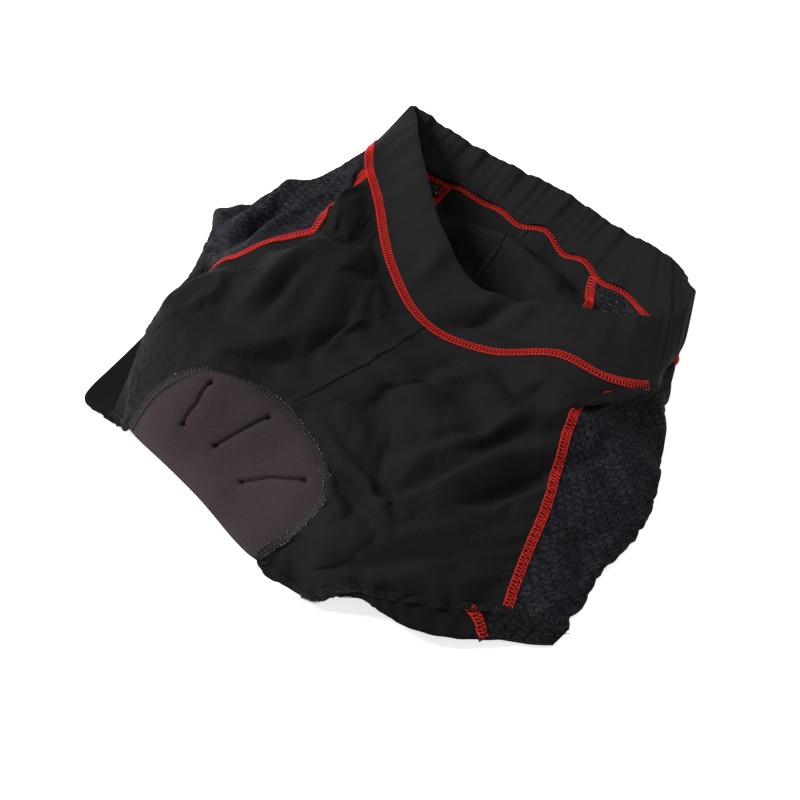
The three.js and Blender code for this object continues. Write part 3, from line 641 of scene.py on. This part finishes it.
def mesh_material(name, colour, open_slots):
    material = bpy.data.materials.new(name)
    tree, shader = nodes_of(material)
    uv = add_node(tree, "ShaderNodeUVMap", uv_map="cloth").outputs[0]
    split = add_node(tree, "ShaderNodeSeparateXYZ", {0: uv})
    row = maths(tree, "DIVIDE", split.outputs[1], SLOT_APART[1] * MM)
    odd = maths(tree, "FLOORED_MODULO", maths(tree, "FLOOR", row), 2.0)
    shift = maths(tree, "MULTIPLY", odd, 0.5)
    column = maths(tree, "DIVIDE", split.outputs[0], SLOT_APART[0] * MM)
    column = maths(tree, "ADD", column, shift)
    from_middle, squares = [], []
    for place, apart, reach in zip((column, row), SLOT_APART, SLOT_REACH):
        off = maths(tree, "SUBTRACT", maths(tree, "FRACT", place), 0.5)
        from_middle.append(off)
        squares.append(maths(tree, "POWER", maths(tree, "MULTIPLY", off, apart / reach), 2.0))
    away = maths(tree, "ADD", *squares)
    # Each slot and a ring round it are painted nearly black (painted shade of the hole); with open_slots
    # the slot's middle is cut out as well.
    rim = spanned(tree, away, 0.8, 1.5, 0.02, 1.0)
    # The middle of each row is painted lighter, a painted highlight on its rounded crown; the same value
    # also raises it in the bump.
    crown_rise_and_highlight = spanned(tree, maths(tree, "ABSOLUTE", from_middle[1]), 0.5, 0.1, 0.0, 0.16,
                    interpolation_type="SMOOTHSTEP")
    grain = noise(tree, add_node(tree, "ShaderNodeTexCoord").outputs["Object"], 420.0)
    # Long thin noise along the rows paints irregular light streaks, a painted sheen on the yarn.
    highlight_streaks = add_node(tree, "ShaderNodeMapping", {"Vector": uv, "Scale": (60.0, 520.0, 1.0)})
    mixed = maths(tree, "ADD", crown_rise_and_highlight, noise(tree, highlight_streaks.outputs[0], 1.0))
    tone = spanned(tree, maths(tree, "ADD", mixed, grain), 1.0, 1.5, 0.95, 3.0)
    shade = maths(tree, "MULTIPLY", tone, rim)
    colour_by(tree, shader, shade, BLACK, linear(*colour), clamp=False)
    if open_slots:
        solid = maths(tree, "GREATER_THAN", away, 0.2)
        tree.links.new(solid, shader.inputs["Alpha"])
    bump_by(tree, shader, maths(tree, "MULTIPLY", mixed, rim), 0.6, 0.2)
    shader.inputs["Roughness"].default_value = 0.85
    shader.inputs["Specular IOR Level"].default_value = 0.05
    return material


mesh_cloth = mesh_material("black mesh", (25, 25, 29), True)
for who, side in (("left", -1), ("right", 1)):
    grid = cloth_grid(who, None, 7, WAIST, STITCH, 3.2)
    us = spread(who, None, 7, WAIST, STITCH, grid.shape[1], grid.shape[0])[0]
    maps = arc_map(grid)
    outer_fold = np.array([np.interp(5, us[j], maps[j, :, 0]) for j in range(len(us))])
    maps[..., 0] -= outer_fold[:, None]
    panel = shell(f"{who}_side_mesh_cloth", grid, side, CLOTH_OUT, CLOTH_IN, mesh_cloth, maps)
    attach(panel, "root")
    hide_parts(f"side_mesh_{who}")
    declare_sheet(grid)


# Back panels
# The same knit as the front. They lie flat on the surface under the rest of the shorts.
for who, side in (("left", -1), ("right", 1)):
    grid = cloth_grid(who, 7, 9, WAIST, STITCH, 3.5)
    panel = shell(f"{who}_back_knit", grid, side, CLOTH_OUT, CLOTH_IN, knit)
    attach(panel, "root")
    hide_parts(f"back_panel_{who}")
    declare_sheet(grid)


# Leg hems
# The knit is turned under once and held by a coverstitch, so the hem is double and a little
# stiffer than the leg. On the outer side it takes in the end of the mesh.
hem_knit = knit_material("black hem", (17, 16, 16), 0.85, 1.25, 0.6, 0.5, 0.10)
# The hem mesh's slots are not cut out, only painted dark as painted shade.
hem_mesh = mesh_material("black mesh hem", (17, 17, 20), False)
HEM_OUT, HEM_IN = 0.6, -1.1
for who, side, tab in (("left", -1, 2.75), ("right", 1, 3.0)):
    grid = cloth_grid(who, 0.02, 8.98, STITCH, HEM, 2.6)
    hem = shell(f"{who}_leg_hem", grid, side, HEM_OUT, HEM_IN, hem_knit)
    hem.data.materials.append(hem_mesh)
    cols = grid.shape[1] - 1
    at = (np.arange(cols) + 0.5) / cols * 8.96 + 0.02
    on_mesh = np.tile((at > tab) & (at < 7), grid.shape[0] - 1).astype(int)
    index = np.zeros(len(hem.data.polygons), int)
    index[:2 * len(on_mesh)] = np.tile(on_mesh, 2)
    hem.data.polygons.foreach_set("material_index", index)
    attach(hem, "root")
    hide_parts(f"leg_hem_{who}")
    declare_sheet(grid)


# Waistband
# One wide strip of smooth stretch knit, folded over a gathered elastic, so it has an outer
# and an inner face and a rounded top edge. Joins show at the sides and the centre back.
band_knit = knit_material("waistband knit", (24, 24, 24), 0.75, 0.9, 0.5, 0.35, 0.06)
BAND_JOIN = 4.2
BAND_THICK = 3.2
BAND_OUT = 0.3
JOIN_GAP = 0.004
TUCK_U = 4.65
RIPPLES = [(0.0, 1.0, 0.23), (1.3, 0.6, 0.37), (2.1, 0.45, 0.71)]


def band_section(us, heights):
    """Mid-surface of the band and its outward side, with the ripples of the gathered elastic."""
    u, h = np.meshgrid(us, heights)
    tuck = bell(us, TUCK_U, 0.5)
    points = on_ring(u, h * (1 + 0.07 * tuck[None, :]))
    n = -unit(np.cross(np.gradient(points, axis=1), np.gradient(points, axis=0)))
    girth = np.concatenate([[0], np.cumsum(np.linalg.norm(np.diff(points[0], axis=0), axis=-1))])
    wave = sum(a * np.sin(girth * k + p) for p, a, k in RIPPLES)
    strength = (0.35 + 1.3 * fade(np.abs(us), 4.0, 1.5))[None, :] * (1.0 - 0.65 * heights[:, None])
    low = fade(heights[:, None], 0.75, 0.25) * tuck[None, :]
    return points + n * (wave[None, :] * strength * 0.9 + 1.4 * low)[..., None], n


def band_piece(name, u0, u1, count):
    """The strip runs up the outside, over the elastic and down the inside."""
    us = np.linspace(u0, u1, count)
    heights = np.linspace(0, 0.985, 18)
    mid, n = band_section(us, heights)
    up = unit(mid[0] - mid[1])
    radius = BAND_THICK / 2
    strip = [mid[j] + n[j] * BAND_OUT for j in range(len(heights) - 1, -1, -1)]
    for angle in np.linspace(0, math.pi, 9)[1:-1]:
        out = BAND_OUT - radius + radius * math.cos(angle)
        strip.append(mid[0] + n[0] * out + up * radius * math.sin(angle))
    strip += [mid[j] + n[j] * (BAND_OUT - BAND_THICK) for j in range(len(heights))]
    strip = np.stack(strip)
    return shell(name, strip, 1, 0.4, -0.4, band_knit), strip


for name, node, u0, u1, count in (
    ("front_waistband", "waistband_front", -BAND_JOIN + JOIN_GAP, BAND_JOIN - JOIN_GAP, 190),
    ("left_back_waistband", "waistband_back_left", BAND_JOIN + JOIN_GAP, 8.995, 120),
    ("right_back_waistband", "waistband_back_right", -8.995, -BAND_JOIN - JOIN_GAP, 120),
):
    piece, strip = band_piece(name, u0, u1, count)
    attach(piece, "root")
    if node == "waistband_front":
        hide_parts(node, "waist_elastic")
    else:
        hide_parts(node)
    declare_sheet(strip)


# Flatlock seams
# The two cloths butt together and a net of thread covers the join, about seven millimetres
# wide: two threads cross it back and forth and a needle line runs along each edge.
def thread_material(name, light, dark, rough):
    material = bpy.data.materials.new(name)
    tree, shader = nodes_of(material)
    fuzz = noise(tree, add_node(tree, "ShaderNodeTexCoord").outputs["Object"], 900.0)
    share = spanned(tree, fuzz, 0.35, 0.65, 0.0, 1.0)
    colour_by(tree, shader, share, linear(*dark), linear(*light))
    bump_by(tree, shader, fuzz, 0.4, 0.1)
    shader.inputs["Roughness"].default_value = rough
    shader.inputs["Specular IOR Level"].default_value = 0.2
    return material


red_thread = thread_material("red thread", (212, 40, 27), (176, 27, 18), 0.5)
black_thread = thread_material("black thread", (30, 30, 31), (17, 17, 18), 0.6)
grey_thread = thread_material("grey thread", (66, 62, 64), (34, 32, 33), 0.6)


def one_stitch():
    """A short length of thread, modelled once: it lies along Y, a millimetre long and wide."""
    bpy.ops.object.select_all(action="DESELECT")
    bpy.ops.mesh.primitive_cylinder_add(vertices=5, radius=0.5, depth=1.0, end_fill_type="NGON",
                                        rotation=(math.pi / 2, 0, 0))
    stitch = bpy.context.object
    bpy.ops.object.transform_apply(location=False, rotation=True, scale=False)
    bpy.ops.object.mode_set(mode="EDIT")
    for where in (-0.25, 0.25):
        bpy.ops.mesh.select_all(action="SELECT")
        bpy.ops.mesh.bisect(plane_co=(0, where, 0), plane_no=(0, 1, 0))
    bpy.ops.object.mode_set(mode="OBJECT")
    points = np.array([v.co[:] for v in stitch.data.vertices])
    points[:, 2] += 0.55 * (1 - (2 * points[:, 1]) ** 2) - 0.35
    faces = [list(p.vertices) for p in stitch.data.polygons]
    bpy.data.objects.remove(stitch, do_unlink=True)
    return points, faces


STITCH_POINTS, STITCH_FACES = one_stitch()
THREAD_LOWEST = 0.05


class Line:
    """A seam line on the cloth, with its outward side and its way across."""

    def __init__(self, points, normals):
        self.points = points
        self.normals = unit(normals)
        hops = np.linalg.norm(np.diff(points, axis=0), axis=-1)
        self.at = np.concatenate([[0], np.cumsum(hops)])
        self.length = self.at[-1]

    def read(self, values, s):
        s = np.clip(s, 0, self.length)
        return np.stack([np.interp(s, self.at, values[:, k]) for k in range(3)], -1)

    def frames(self, s):
        """Points, the way along, the way across and the outward side at lengths s."""
        s = np.clip(s, 0, self.length)
        n = unit(self.read(self.normals, s))
        t = unit(self.read(self.points, s + 1.0) - self.read(self.points, s - 1.0))
        across = unit(np.cross(t, n))
        return self.read(self.points, s), t, across, np.cross(across, t)


def seam_line(at, us, vs, side, eps=0.04, deep=0.0):
    """at gives points; the outward side comes from the cloth's slope eps to each side of them."""
    p = at(us, vs)
    du = at(us + eps, vs) - at(us - eps, vs)
    dv = at(us, vs + eps) - at(us, vs - eps)
    n = unit(np.cross(du, dv)) * side
    return Line(p - n * np.broadcast_to(deep, us.shape)[:, None], n)


def lay_stitches(line, runs, thick, above):
    """Copies the one stitch along a seam: each run is (across0, across1, along, pitch, phase)."""
    all_points, all_faces = [], []
    base = 0
    for x0, x1, reach, pitch, phase in runs:
        centres = np.arange(phase * pitch + pitch / 2, line.length - pitch / 2, pitch)
        if not len(centres):
            continue
        p, t, across, n = line.frames(centres)
        run = np.hypot(x1 - x0, reach)
        cx, cy = (x1 - x0) / run, reach / run
        lx = STITCH_POINTS[:, 0] * thick
        ly = STITCH_POINTS[:, 1] * run
        lz = STITCH_POINTS[:, 2] * thick + above
        x = (x0 + x1) / 2 + ly * cx + lx * cy
        y = ly * cy - lx * cx
        block = (p[:, None] + across[:, None] * x[None, :, None] + t[:, None] * y[None, :, None]
                 + n[:, None] * lz[None, :, None])
        all_points.append(block.reshape(-1, 3))
        for k in range(len(centres)):
            offset = base + k * len(STITCH_POINTS)
            all_faces.extend([[i + offset for i in f] for f in STITCH_FACES])
        base += len(centres) * len(STITCH_POINTS)
    return np.concatenate(all_points), all_faces


def seam_bed(line, half, rise, sink, step=1.8):
    """The padded ridge of cloth edges that the thread covers."""
    s = np.linspace(0, line.length, max(4, int(line.length / step)))
    p, t, across, n = line.frames(s)
    profile = [(-half, -sink), (-half, 0.25 * rise), (-0.72 * half, 0.85 * rise), (-0.25 * half, rise),
               (0.25 * half, rise), (0.72 * half, 0.85 * rise), (half, 0.25 * rise), (half, -sink)]
    rings = np.stack([p + across * x + n * z for x, z in profile])
    rows, cols = rings.shape[:2]
    k = np.arange(rows * cols).reshape(rows, cols)
    nxt = np.roll(k, -1, axis=0)
    faces = np.stack([k[:, :-1], k[:, 1:], nxt[:, 1:], nxt[:, :-1]], -1).reshape(-1, 4).tolist()
    faces.append(k[:, 0].tolist())
    faces.append(k[::-1, -1].tolist())
    return rings.reshape(-1, 3), faces


def seam_piece(name, line, half, bed_material, material, thick=0.62, both=False, rise=0.85,
               sink=0.9):
    """The ridge and its stitches, on one side or on both sides of the cloth."""
    pitch = 2.6
    runs = [(-0.86 * half, -0.86 * half, pitch * 0.92, pitch, 0.0),
            (0.86 * half, 0.86 * half, pitch * 0.92, pitch, 0.5),
            (-half, 0.96 * half, 0.42 * pitch, pitch, 0.0),
            (-half, 0.1 * half, -0.7 * pitch, pitch, 0.5),
            (-0.1 * half, half, -0.7 * pitch, pitch, 0.0)]
    joined, faces = seam_bed(line, half * 0.96, rise, sink)
    bed_count = len(faces)
    sides = [line, Line(line.points, -line.normals)] if both else [line]
    for one_side in sides:
        points, more = lay_stitches(one_side, runs, thick, rise + 0.22 if one_side is line else 1.1)
        count = len(joined)
        faces = faces + [[i + count for i in f] for f in more]
        joined = np.concatenate([joined, points])
    joined[:, 2] = np.maximum(joined[:, 2], THREAD_LOWEST)
    piece = make_piece(name, joined, faces, np.zeros((len(joined), 2)), bed_material)
    piece.data.materials.append(material)
    index = np.zeros(len(faces), int)
    index[bed_count:] = 1
    piece.data.polygons.foreach_set("material_index", index)
    fixed = bmesh.new()
    fixed.from_mesh(piece.data)
    bmesh.ops.recalc_face_normals(fixed, faces=fixed.faces)
    fixed.to_mesh(piece.data)
    fixed.free()
    return piece


red_bed = thread_material("red seam bed", (62, 9, 7), (40, 7, 6), 0.75)
black_bed = thread_material("black seam bed", (17, 17, 17), (11, 11, 11), 0.8)
grey_bed = thread_material("grey seam bed", (44, 42, 44), (28, 27, 28), 0.8)
SEAM_HALF = 3.5
# Where a seam goes out of sight under the knit or the band, it is sunk by a few millimetres.
UNDER_KNIT, UNDER_BAND = 4.5, 3.4
for who, side in (("left", -1), ("right", 1)):
    for label, u, node in (("front", 3, "front_side_seam"), ("back", 7, "back_side_seam")):
        vs = np.linspace(WAIST + 0.03, STITCH - 0.08, 150)
        us = side_seam_u(who, vs) if u == 3 else np.full_like(vs, u)
        deep = UNDER_KNIT * fade(us, 3, 0.05) if u == 3 else 0
        line = seam_line(lambda a, b, w=who: on_cloth(w, a, b), us, vs, side, deep=deep)
        seam = seam_piece(f"{who}_{label}_side_flatlock", line, SEAM_HALF, red_bed, red_thread,
                          both=label == "back")
        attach(seam, "root")
        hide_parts(f"{node}_{who}")


def waist_point(us, vs):
    """Past the centre back, at u = 9, the waist goes on along the wearer's right half."""
    return on_ring(np.where(us > 9, us - 18, us), vs)


for label, u0, u1, node in (("front", -5, 5, "waist_seam_front"), ("back", 5, 13, "waist_seam_back")):
    us = np.linspace(u0 + 0.01, u1 - 0.01, 260)
    deep = UNDER_BAND * fade(us, 3.95, 0.05) * fade(us, 5.35, -0.05)
    line = seam_line(waist_point, us, np.full_like(us, WAIST), -1, deep=deep)
    seam = seam_piece(f"{label}_waist_flatlock", line, SEAM_HALF, red_bed, red_thread, both=label == "back")
    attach(seam, "root")
    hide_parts(node)

CENTRE_HALF, LEG_HALF = 2.8, 2.6
centre_front_vs = np.linspace(WAIST + 0.04, PAD_TOP - 0.03, 60)
line = seam_line(on_ring, np.zeros(60), centre_front_vs, -1, eps=0.2)
seam = seam_piece("front_centre_flatlock", line, CENTRE_HALF, black_bed, black_thread, thick=0.5,
                  rise=1.1, sink=2.5)
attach(seam, "root")
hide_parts("centre_front_seam")

centre_back_vs = np.linspace(WAIST + 0.04, PAD_SEAT - 0.03, 90)
line = Line(on_cloth("left", 9, centre_back_vs), np.tile([0.0, 0.0, -1.0], (90, 1)))
seam = seam_piece("back_centre_flatlock", line, CENTRE_HALF, black_bed, black_thread, thick=0.5)
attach(seam, "root")
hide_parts("centre_back_seam")

for who, side in (("left", -1), ("right", 1)):
    us = np.linspace(0.03, 8.97, 260)
    line = seam_line(lambda a, b, w=who: on_cloth(w, a, b), us, np.full_like(us, STITCH), side)
    seam = seam_piece(f"{who}_hem_stitching", line, LEG_HALF, black_bed, black_thread, thick=0.45)
    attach(seam, "root")
    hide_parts(f"hem_coverstitch_{who}")
    vs = np.linspace(PAD_CORNER + 0.02, HEM - 0.02, 40)
    line = seam_line(lambda a, b, w=who: on_cloth(w, a, b), np.full_like(vs, 0.12), vs, side)
    seam = seam_piece(f"{who}_inner_leg_flatlock", line, LEG_HALF, black_bed, black_thread,
                      thick=0.45)
    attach(seam, "root")
    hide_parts(f"inseam_{who}")

for who, side, u0, u1 in (("left", -1, 2.60, 2.92), ("right", 1, 3.0, 3.0)):
    us = np.linspace(u0, u1, 20)
    vs = np.minimum(np.linspace(STITCH + 0.02, HEM + 0.02, 20), HEM)
    line = seam_line(lambda a, b, w=who: on_cloth(w, a, b), us, vs, side)
    seam = seam_piece(f"{who}_hem_tab", line, SEAM_HALF, red_bed, red_thread)
    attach(seam, "root")
    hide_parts(f"hem_seam_tab_{who}")


# Crotch and seat pad
# Foam between two brushed knits, folded over the crotch from the front to the seat. Its
# outline is sewn into the panels, and three short sewn grooves let the front half bend.
PAD_ROWS = np.array([
    [[-28, 65, 78], [-14, 74, 75], [2, 79, 70], [26, 80, 63], [48, 73, 59]],
    [[-47, 47, 75], [-26, 52, 75], [2, 58, 69], [38, 61, 60], [74, 58, 55]],
    [[-60, 35, 63], [-34, 33, 64], [2, 37, 57], [43, 39, 50], [85, 42, 49]],
    [[-69, 28, 45], [-37, 21, 47], [2, 23, 41], [44, 20, 37], [80, 22, 40]],
    [[-77, 22, 25], [-39, 17, 27], [1, 13, 22], [38, 5, 20], [68, -3, 25]],
    [[-79, 36, 12], [-43, 28, 7], [0, 25, 4], [38, 20, 5], [74, 18, 12]],
    [[-84, 66, 0], [-46, 60, 0], [0, 56, 0], [43, 58, 0], [80, 60, 0]],
    [[-78, 100, 0], [-42, 108, 0], [0, 110, 0], [42, 108, 0], [78, 100, 0]],
    [[-52, 140, 0], [-28, 162, 0], [0, 172, 0], [30, 162, 0], [52, 140, 0]],
], float)
SIDE_AT = {"right": [0.65, 1.4, 2.05, 2.55, 3.0], "left": [0.55, 1.0, 1.5, 2.1, 3.0]}
SEAT_AT = [2.0, 1.7, 1.35, 0.95, 0.5]
TOP_AT = [-0.65, -0.45, -0.15, 0.25, 0.55]
BACK_AT = [-0.5, -0.25, 0, 0.25, 0.5]


def outline_of(col, row):
    """The cut edge that takes the pad, from the wearer's right leg across the middle to the left."""
    start = row * CLOTH_STEP
    points = np.concatenate([halves["right"][start:, col][::-1], halves["left"][start + 1:, col]])

    def at(w):
        w = np.asarray(w, float)
        picks, weights = spline_weights((w + 7 - row) * CLOTH_STEP, len(points))
        return sum(weights[a][..., None] * points[picks[a]] for a in range(4))

    return at


pad_front_edge = outline_of(0, PAD_TOP)
pad_back_edge = outline_of(9 * CLOTH_STEP, PAD_SEAT)


def pad_side(who, s):
    s = np.asarray(s, float)
    sign = 1 if who == "left" else -1
    front = pad_front_edge(sign * np.interp(s, np.arange(5), SIDE_AT[who]))
    back = pad_back_edge(sign * np.interp(s - 4, np.arange(5), SEAT_AT))
    return np.where((s > 4)[..., None], back, front)


def table_surface(rows, ts, ss):
    def line(points, x):
        ends = [2 * points[:1] - points[1:2], points, 2 * points[-1:] - points[-2:-1]]
        points = np.concatenate(ends)
        i = np.clip(np.floor(x).astype(int), 0, len(points) - 4)
        f = (x - i).reshape((-1,) + (1,) * (points.ndim - 1))
        return glide(points[i], points[i + 1], points[i + 2], points[i + 3], f)
    across = line(np.swapaxes(rows, 0, 1), ts)
    return line(np.swapaxes(across, 0, 1), ss)


def pad_surface(ts, ss):
    p = table_surface(PAD_ROWS, ts, ss)
    x = (ts / 4)[None, :, None]
    y = (ss / 8)[:, None, None]
    right = pad_side("right", ss)[:, None] - p[:, :1]
    left = pad_side("left", ss)[:, None] - p[:, -1:]
    top = pad_front_edge(np.interp(ts, np.arange(5), TOP_AT))[None] - p[:1]
    seat = pad_back_edge(np.interp(ts, np.arange(5), BACK_AT))[None] - p[-1:]
    near_top, near_seat = (1 - y) ** 4, y ** 4
    p = (p + (1 - x) * right + x * left + near_top * top + near_seat * seat
         - near_top * ((1 - x) * right[0, 0] + x * left[0, 0])
         - near_seat * ((1 - x) * right[-1, 0] + x * left[-1, 0]))
    p[..., 2] = np.maximum(p[..., 2], FLOOR)
    return p


pad_knit = knit_material("brushed pad knit", (51, 42, 45), 0.95, 1.0, 0.3, 0.9, 0.05)
PAD_T, PAD_S = 131, 241
pad_ts = np.linspace(0, 4, PAD_T)
pad_ss = np.linspace(0, 8, PAD_S)
pad_grid = pad_surface(pad_ts, pad_ss)
pad_n = -grid_normals(pad_grid)
PAD_WIDE, PAD_LONG = 150.0, 260.0
FOAM_THICK = 5.5
edge_t = np.minimum(pad_ts, 4 - pad_ts) / 4 * PAD_WIDE
edge_s = np.minimum(pad_ss, 8 - pad_ss) / 8 * PAD_LONG
inward = np.minimum(edge_t[None, :], edge_s[:, None])
foam = 1 - np.exp(-(inward / 9) ** 1.4)
GROOVES = [
    [(0.85, 0.88), (1.15, 1.58), (1.23, 2.30)],
    [(2.40, 0.75), (1.93, 2.27)],
    [(3.55, 1.53), (3.03, 2.00), (2.62, 2.58)],
]


flat_pad = pad_grid.copy()


def pad_at(t, s):
    """A point of the smooth pad between the grid's own."""
    i, j = s / 8 * (PAD_S - 1), t / 4 * (PAD_T - 1)
    a, b = int(i), int(j)
    low = flat_pad[a, b] * (1 - j + b) + flat_pad[a, b + 1] * (j - b)
    high = flat_pad[a + 1, b] * (1 - j + b) + flat_pad[a + 1, b + 1] * (j - b)
    return low * (1 - i + a) + high * (i - a)


def groove_distance(route):
    """How far each point of the pad is from a groove, and from its two ends, in millimetres."""
    legs = np.linspace(0, len(route) - 1, 17)
    ts, ss = [np.interp(legs, range(len(route)), side) for side in zip(*route)]
    line = np.array([pad_at(t, s) for t, s in zip(ts, ss)])
    near = np.full(pad_grid.shape[:2], 1e9)
    for a, b in zip(line[:-1], line[1:]):
        d = b - a
        t = np.clip(((pad_grid - a) @ d) / (d @ d), 0, 1)
        near = np.minimum(near, np.linalg.norm(pad_grid - a - t[..., None] * d, axis=-1))
    ends = [np.linalg.norm(pad_grid - line[k], axis=-1) for k in (0, -1)]
    return near, np.minimum(*ends)


rise = 1.6 * foam - 0.2
groove_shade_mask = np.zeros(pad_grid.shape[:2])
for route in GROOVES:
    near, end = groove_distance(route)
    # a narrow stitched line, the soft dip beside it and a tack at each end
    rise = rise - 1.9 * bell(near, 0, 1.25) - 1.0 * bell(near, 0, 4.5) - 1.8 * bell(end, 0, 1.9)
    # The grooves and the tacks at their ends are also darkened in colour: painted shade in the dips.
    groove_shade_mask = np.maximum(groove_shade_mask, np.maximum(0.6 * bell(near, 0, 1.0), bell(end, 0, 1.5)))
pad_grid = pad_grid + pad_n * rise[..., None]
pad_grid[..., 2] = np.maximum(pad_grid[..., 2], FLOOR)
pad = shell("crotch_pad", pad_grid, -1, 0.3, -0.5 - FOAM_THICK * foam, pad_knit)
shaded_grooves = pad.data.attributes.new("shaded_grooves", "FLOAT", "POINT")
shaded_grooves.data.foreach_set("value", np.concatenate([groove_shade_mask.ravel(), 0 * groove_shade_mask.ravel()]))
# The pad knit's colour is darkened by up to 0.8 along the grooves and at their tacks: painted shade.
tree = pad_knit.node_tree
mask = add_node(tree, "ShaderNodeAttribute", attribute_name="shaded_grooves")
dark = maths(tree, "MULTIPLY_ADD", mask.outputs["Fac"], -0.8, 1.0)
tint = next(n for n in tree.nodes if n.type == "MIX")
shade = maths(tree, "MULTIPLY", tint.inputs[0].links[0].from_socket, dark)
tree.links.new(shade, tint.inputs[0])
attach(pad, "root")
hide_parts("pad_cover", "pad_foam_front", "pad_foam_seat", "pad_lining_front", "pad_lining_seat")

pale_thread = thread_material("pale thread", (190, 188, 190), (120, 118, 120), 0.6)


def add_flecks(seam, line):
    """The pale lower thread shows as short flecks along the border's outer row, here and there."""
    draw = np.random.default_rng(11)
    spots = np.cumsum(draw.uniform(2.0, 7.0, 400))
    spots = spots[spots < line.length - 2]
    spots = spots[(spots > 0.42 * line.length) | (draw.random(len(spots)) < 0.3)]
    outer = draw.choice([-2.9, -2.9, 2.9], len(spots))
    p, t, across, n = line.frames(spots)
    points, faces = [], []
    for k in range(len(spots)):
        local = STITCH_POINTS * np.array([0.34, 0.9, 0.34]) + np.array([outer[k], 0, 1.15])
        points.append(p[k] + local[:, :1] * across[k] + local[:, 1:2] * t[k] + local[:, 2:] * n[k])
        faces += [[i + k * len(local) for i in f] for f in STITCH_FACES]
    points = np.concatenate(points)
    points[:, 2] = np.maximum(points[:, 2], THREAD_LOWEST)
    flecks = make_piece("flecks", points, faces, np.zeros((len(points), 2)), pale_thread)
    bpy.ops.object.select_all(action="DESELECT")
    flecks.select_set(True)
    seam.select_set(True)
    bpy.context.view_layer.objects.active = seam
    bpy.ops.object.join()


for label, edge, lo, hi, node, col, row in (
    ("front", pad_front_edge, -2.92, 2.92, "pad_border_front", 0, PAD_TOP),
    ("seat", pad_back_edge, -1.95, 1.95, "pad_border_back", 9, PAD_SEAT),
):
    ws = np.linspace(lo, hi, 200)
    points = edge(ws)
    near = 0.25 if col == 0 else 8.75
    beside = np.where((ws < 0)[:, None], on_cloth("right", near, row + np.abs(ws)),
                      on_cloth("left", near, row + np.abs(ws)))
    n = unit(np.cross(beside - points, np.gradient(points, axis=0)))
    outward = 1 if label == "front" else -1
    border_line = Line(points, np.where(n[:, 2:] * outward < 0, -n, n))
    seam = seam_piece(f"{label}_pad_border", border_line, 3.0, grey_bed, grey_thread, thick=0.5)
    add_flecks(seam, border_line)
    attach(seam, "root")
    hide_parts(node)


# Surface, light and camera
# The shorts lie on a plain white surface under soft, even light that comes a little more
# from their right side.
bpy.ops.object.select_all(action="DESELECT")
bpy.ops.mesh.primitive_plane_add(size=60, location=(0, 0, 0))
floor = bpy.context.object
floor.name = "white_surface"
white = bpy.data.materials.new("white surface")
tree, shader = nodes_of(white)
shader.inputs["Base Color"].default_value = (0.93, 0.93, 0.93, 1)
shader.inputs["Roughness"].default_value = 0.9
shader.inputs["Emission Color"].default_value = (1, 1, 1, 1)
shader.inputs["Emission Strength"].default_value = 0.75
floor.data.materials.append(white)

scene = bpy.context.scene
scene.view_settings.view_transform = "Standard"
world = bpy.data.worlds.new("soft room")
scene.world = world
world.use_nodes = True
world.node_tree.nodes["Background"].inputs[0].default_value = (1, 1, 1, 1)
world.node_tree.nodes["Background"].inputs[1].default_value = 0.24


def aim_angles(aim):
    return mathutils.Vector(aim).to_track_quat("-Z", "Y").to_euler()


def soft_light(name, place, size, power):
    data = bpy.data.lights.new(name, "AREA")
    data.shape = "SQUARE"
    data.size = size
    data.energy = power
    light = bpy.data.objects.new(name, data)
    scene.collection.objects.link(light)
    light.location = place
    light.rotation_euler = aim_angles(-np.array(place))


soft_light("key", (-1.1, -0.75, 1.5), 0.7, 52)
soft_light("fill", (0.7, 1.1, 1.5), 1.2, 8)

AZIMUTH, ELEVATION = math.radians(41), math.radians(47)
TARGET = (np.array([48, 160, 30]) - CENTRE) * MM
DISTANCE = 1.3
back = np.array([math.sin(AZIMUTH) * math.cos(ELEVATION), -math.cos(AZIMUTH) * math.cos(ELEVATION),
                 math.sin(ELEVATION)])
camera_data = bpy.data.cameras.new("camera")
camera_data.lens = 85
camera_data.sensor_width = 36
camera = bpy.data.objects.new("camera", camera_data)
scene.collection.objects.link(camera)
camera.location = TARGET + DISTANCE * back
camera.rotation_euler = aim_angles(-back)
scene.camera = camera
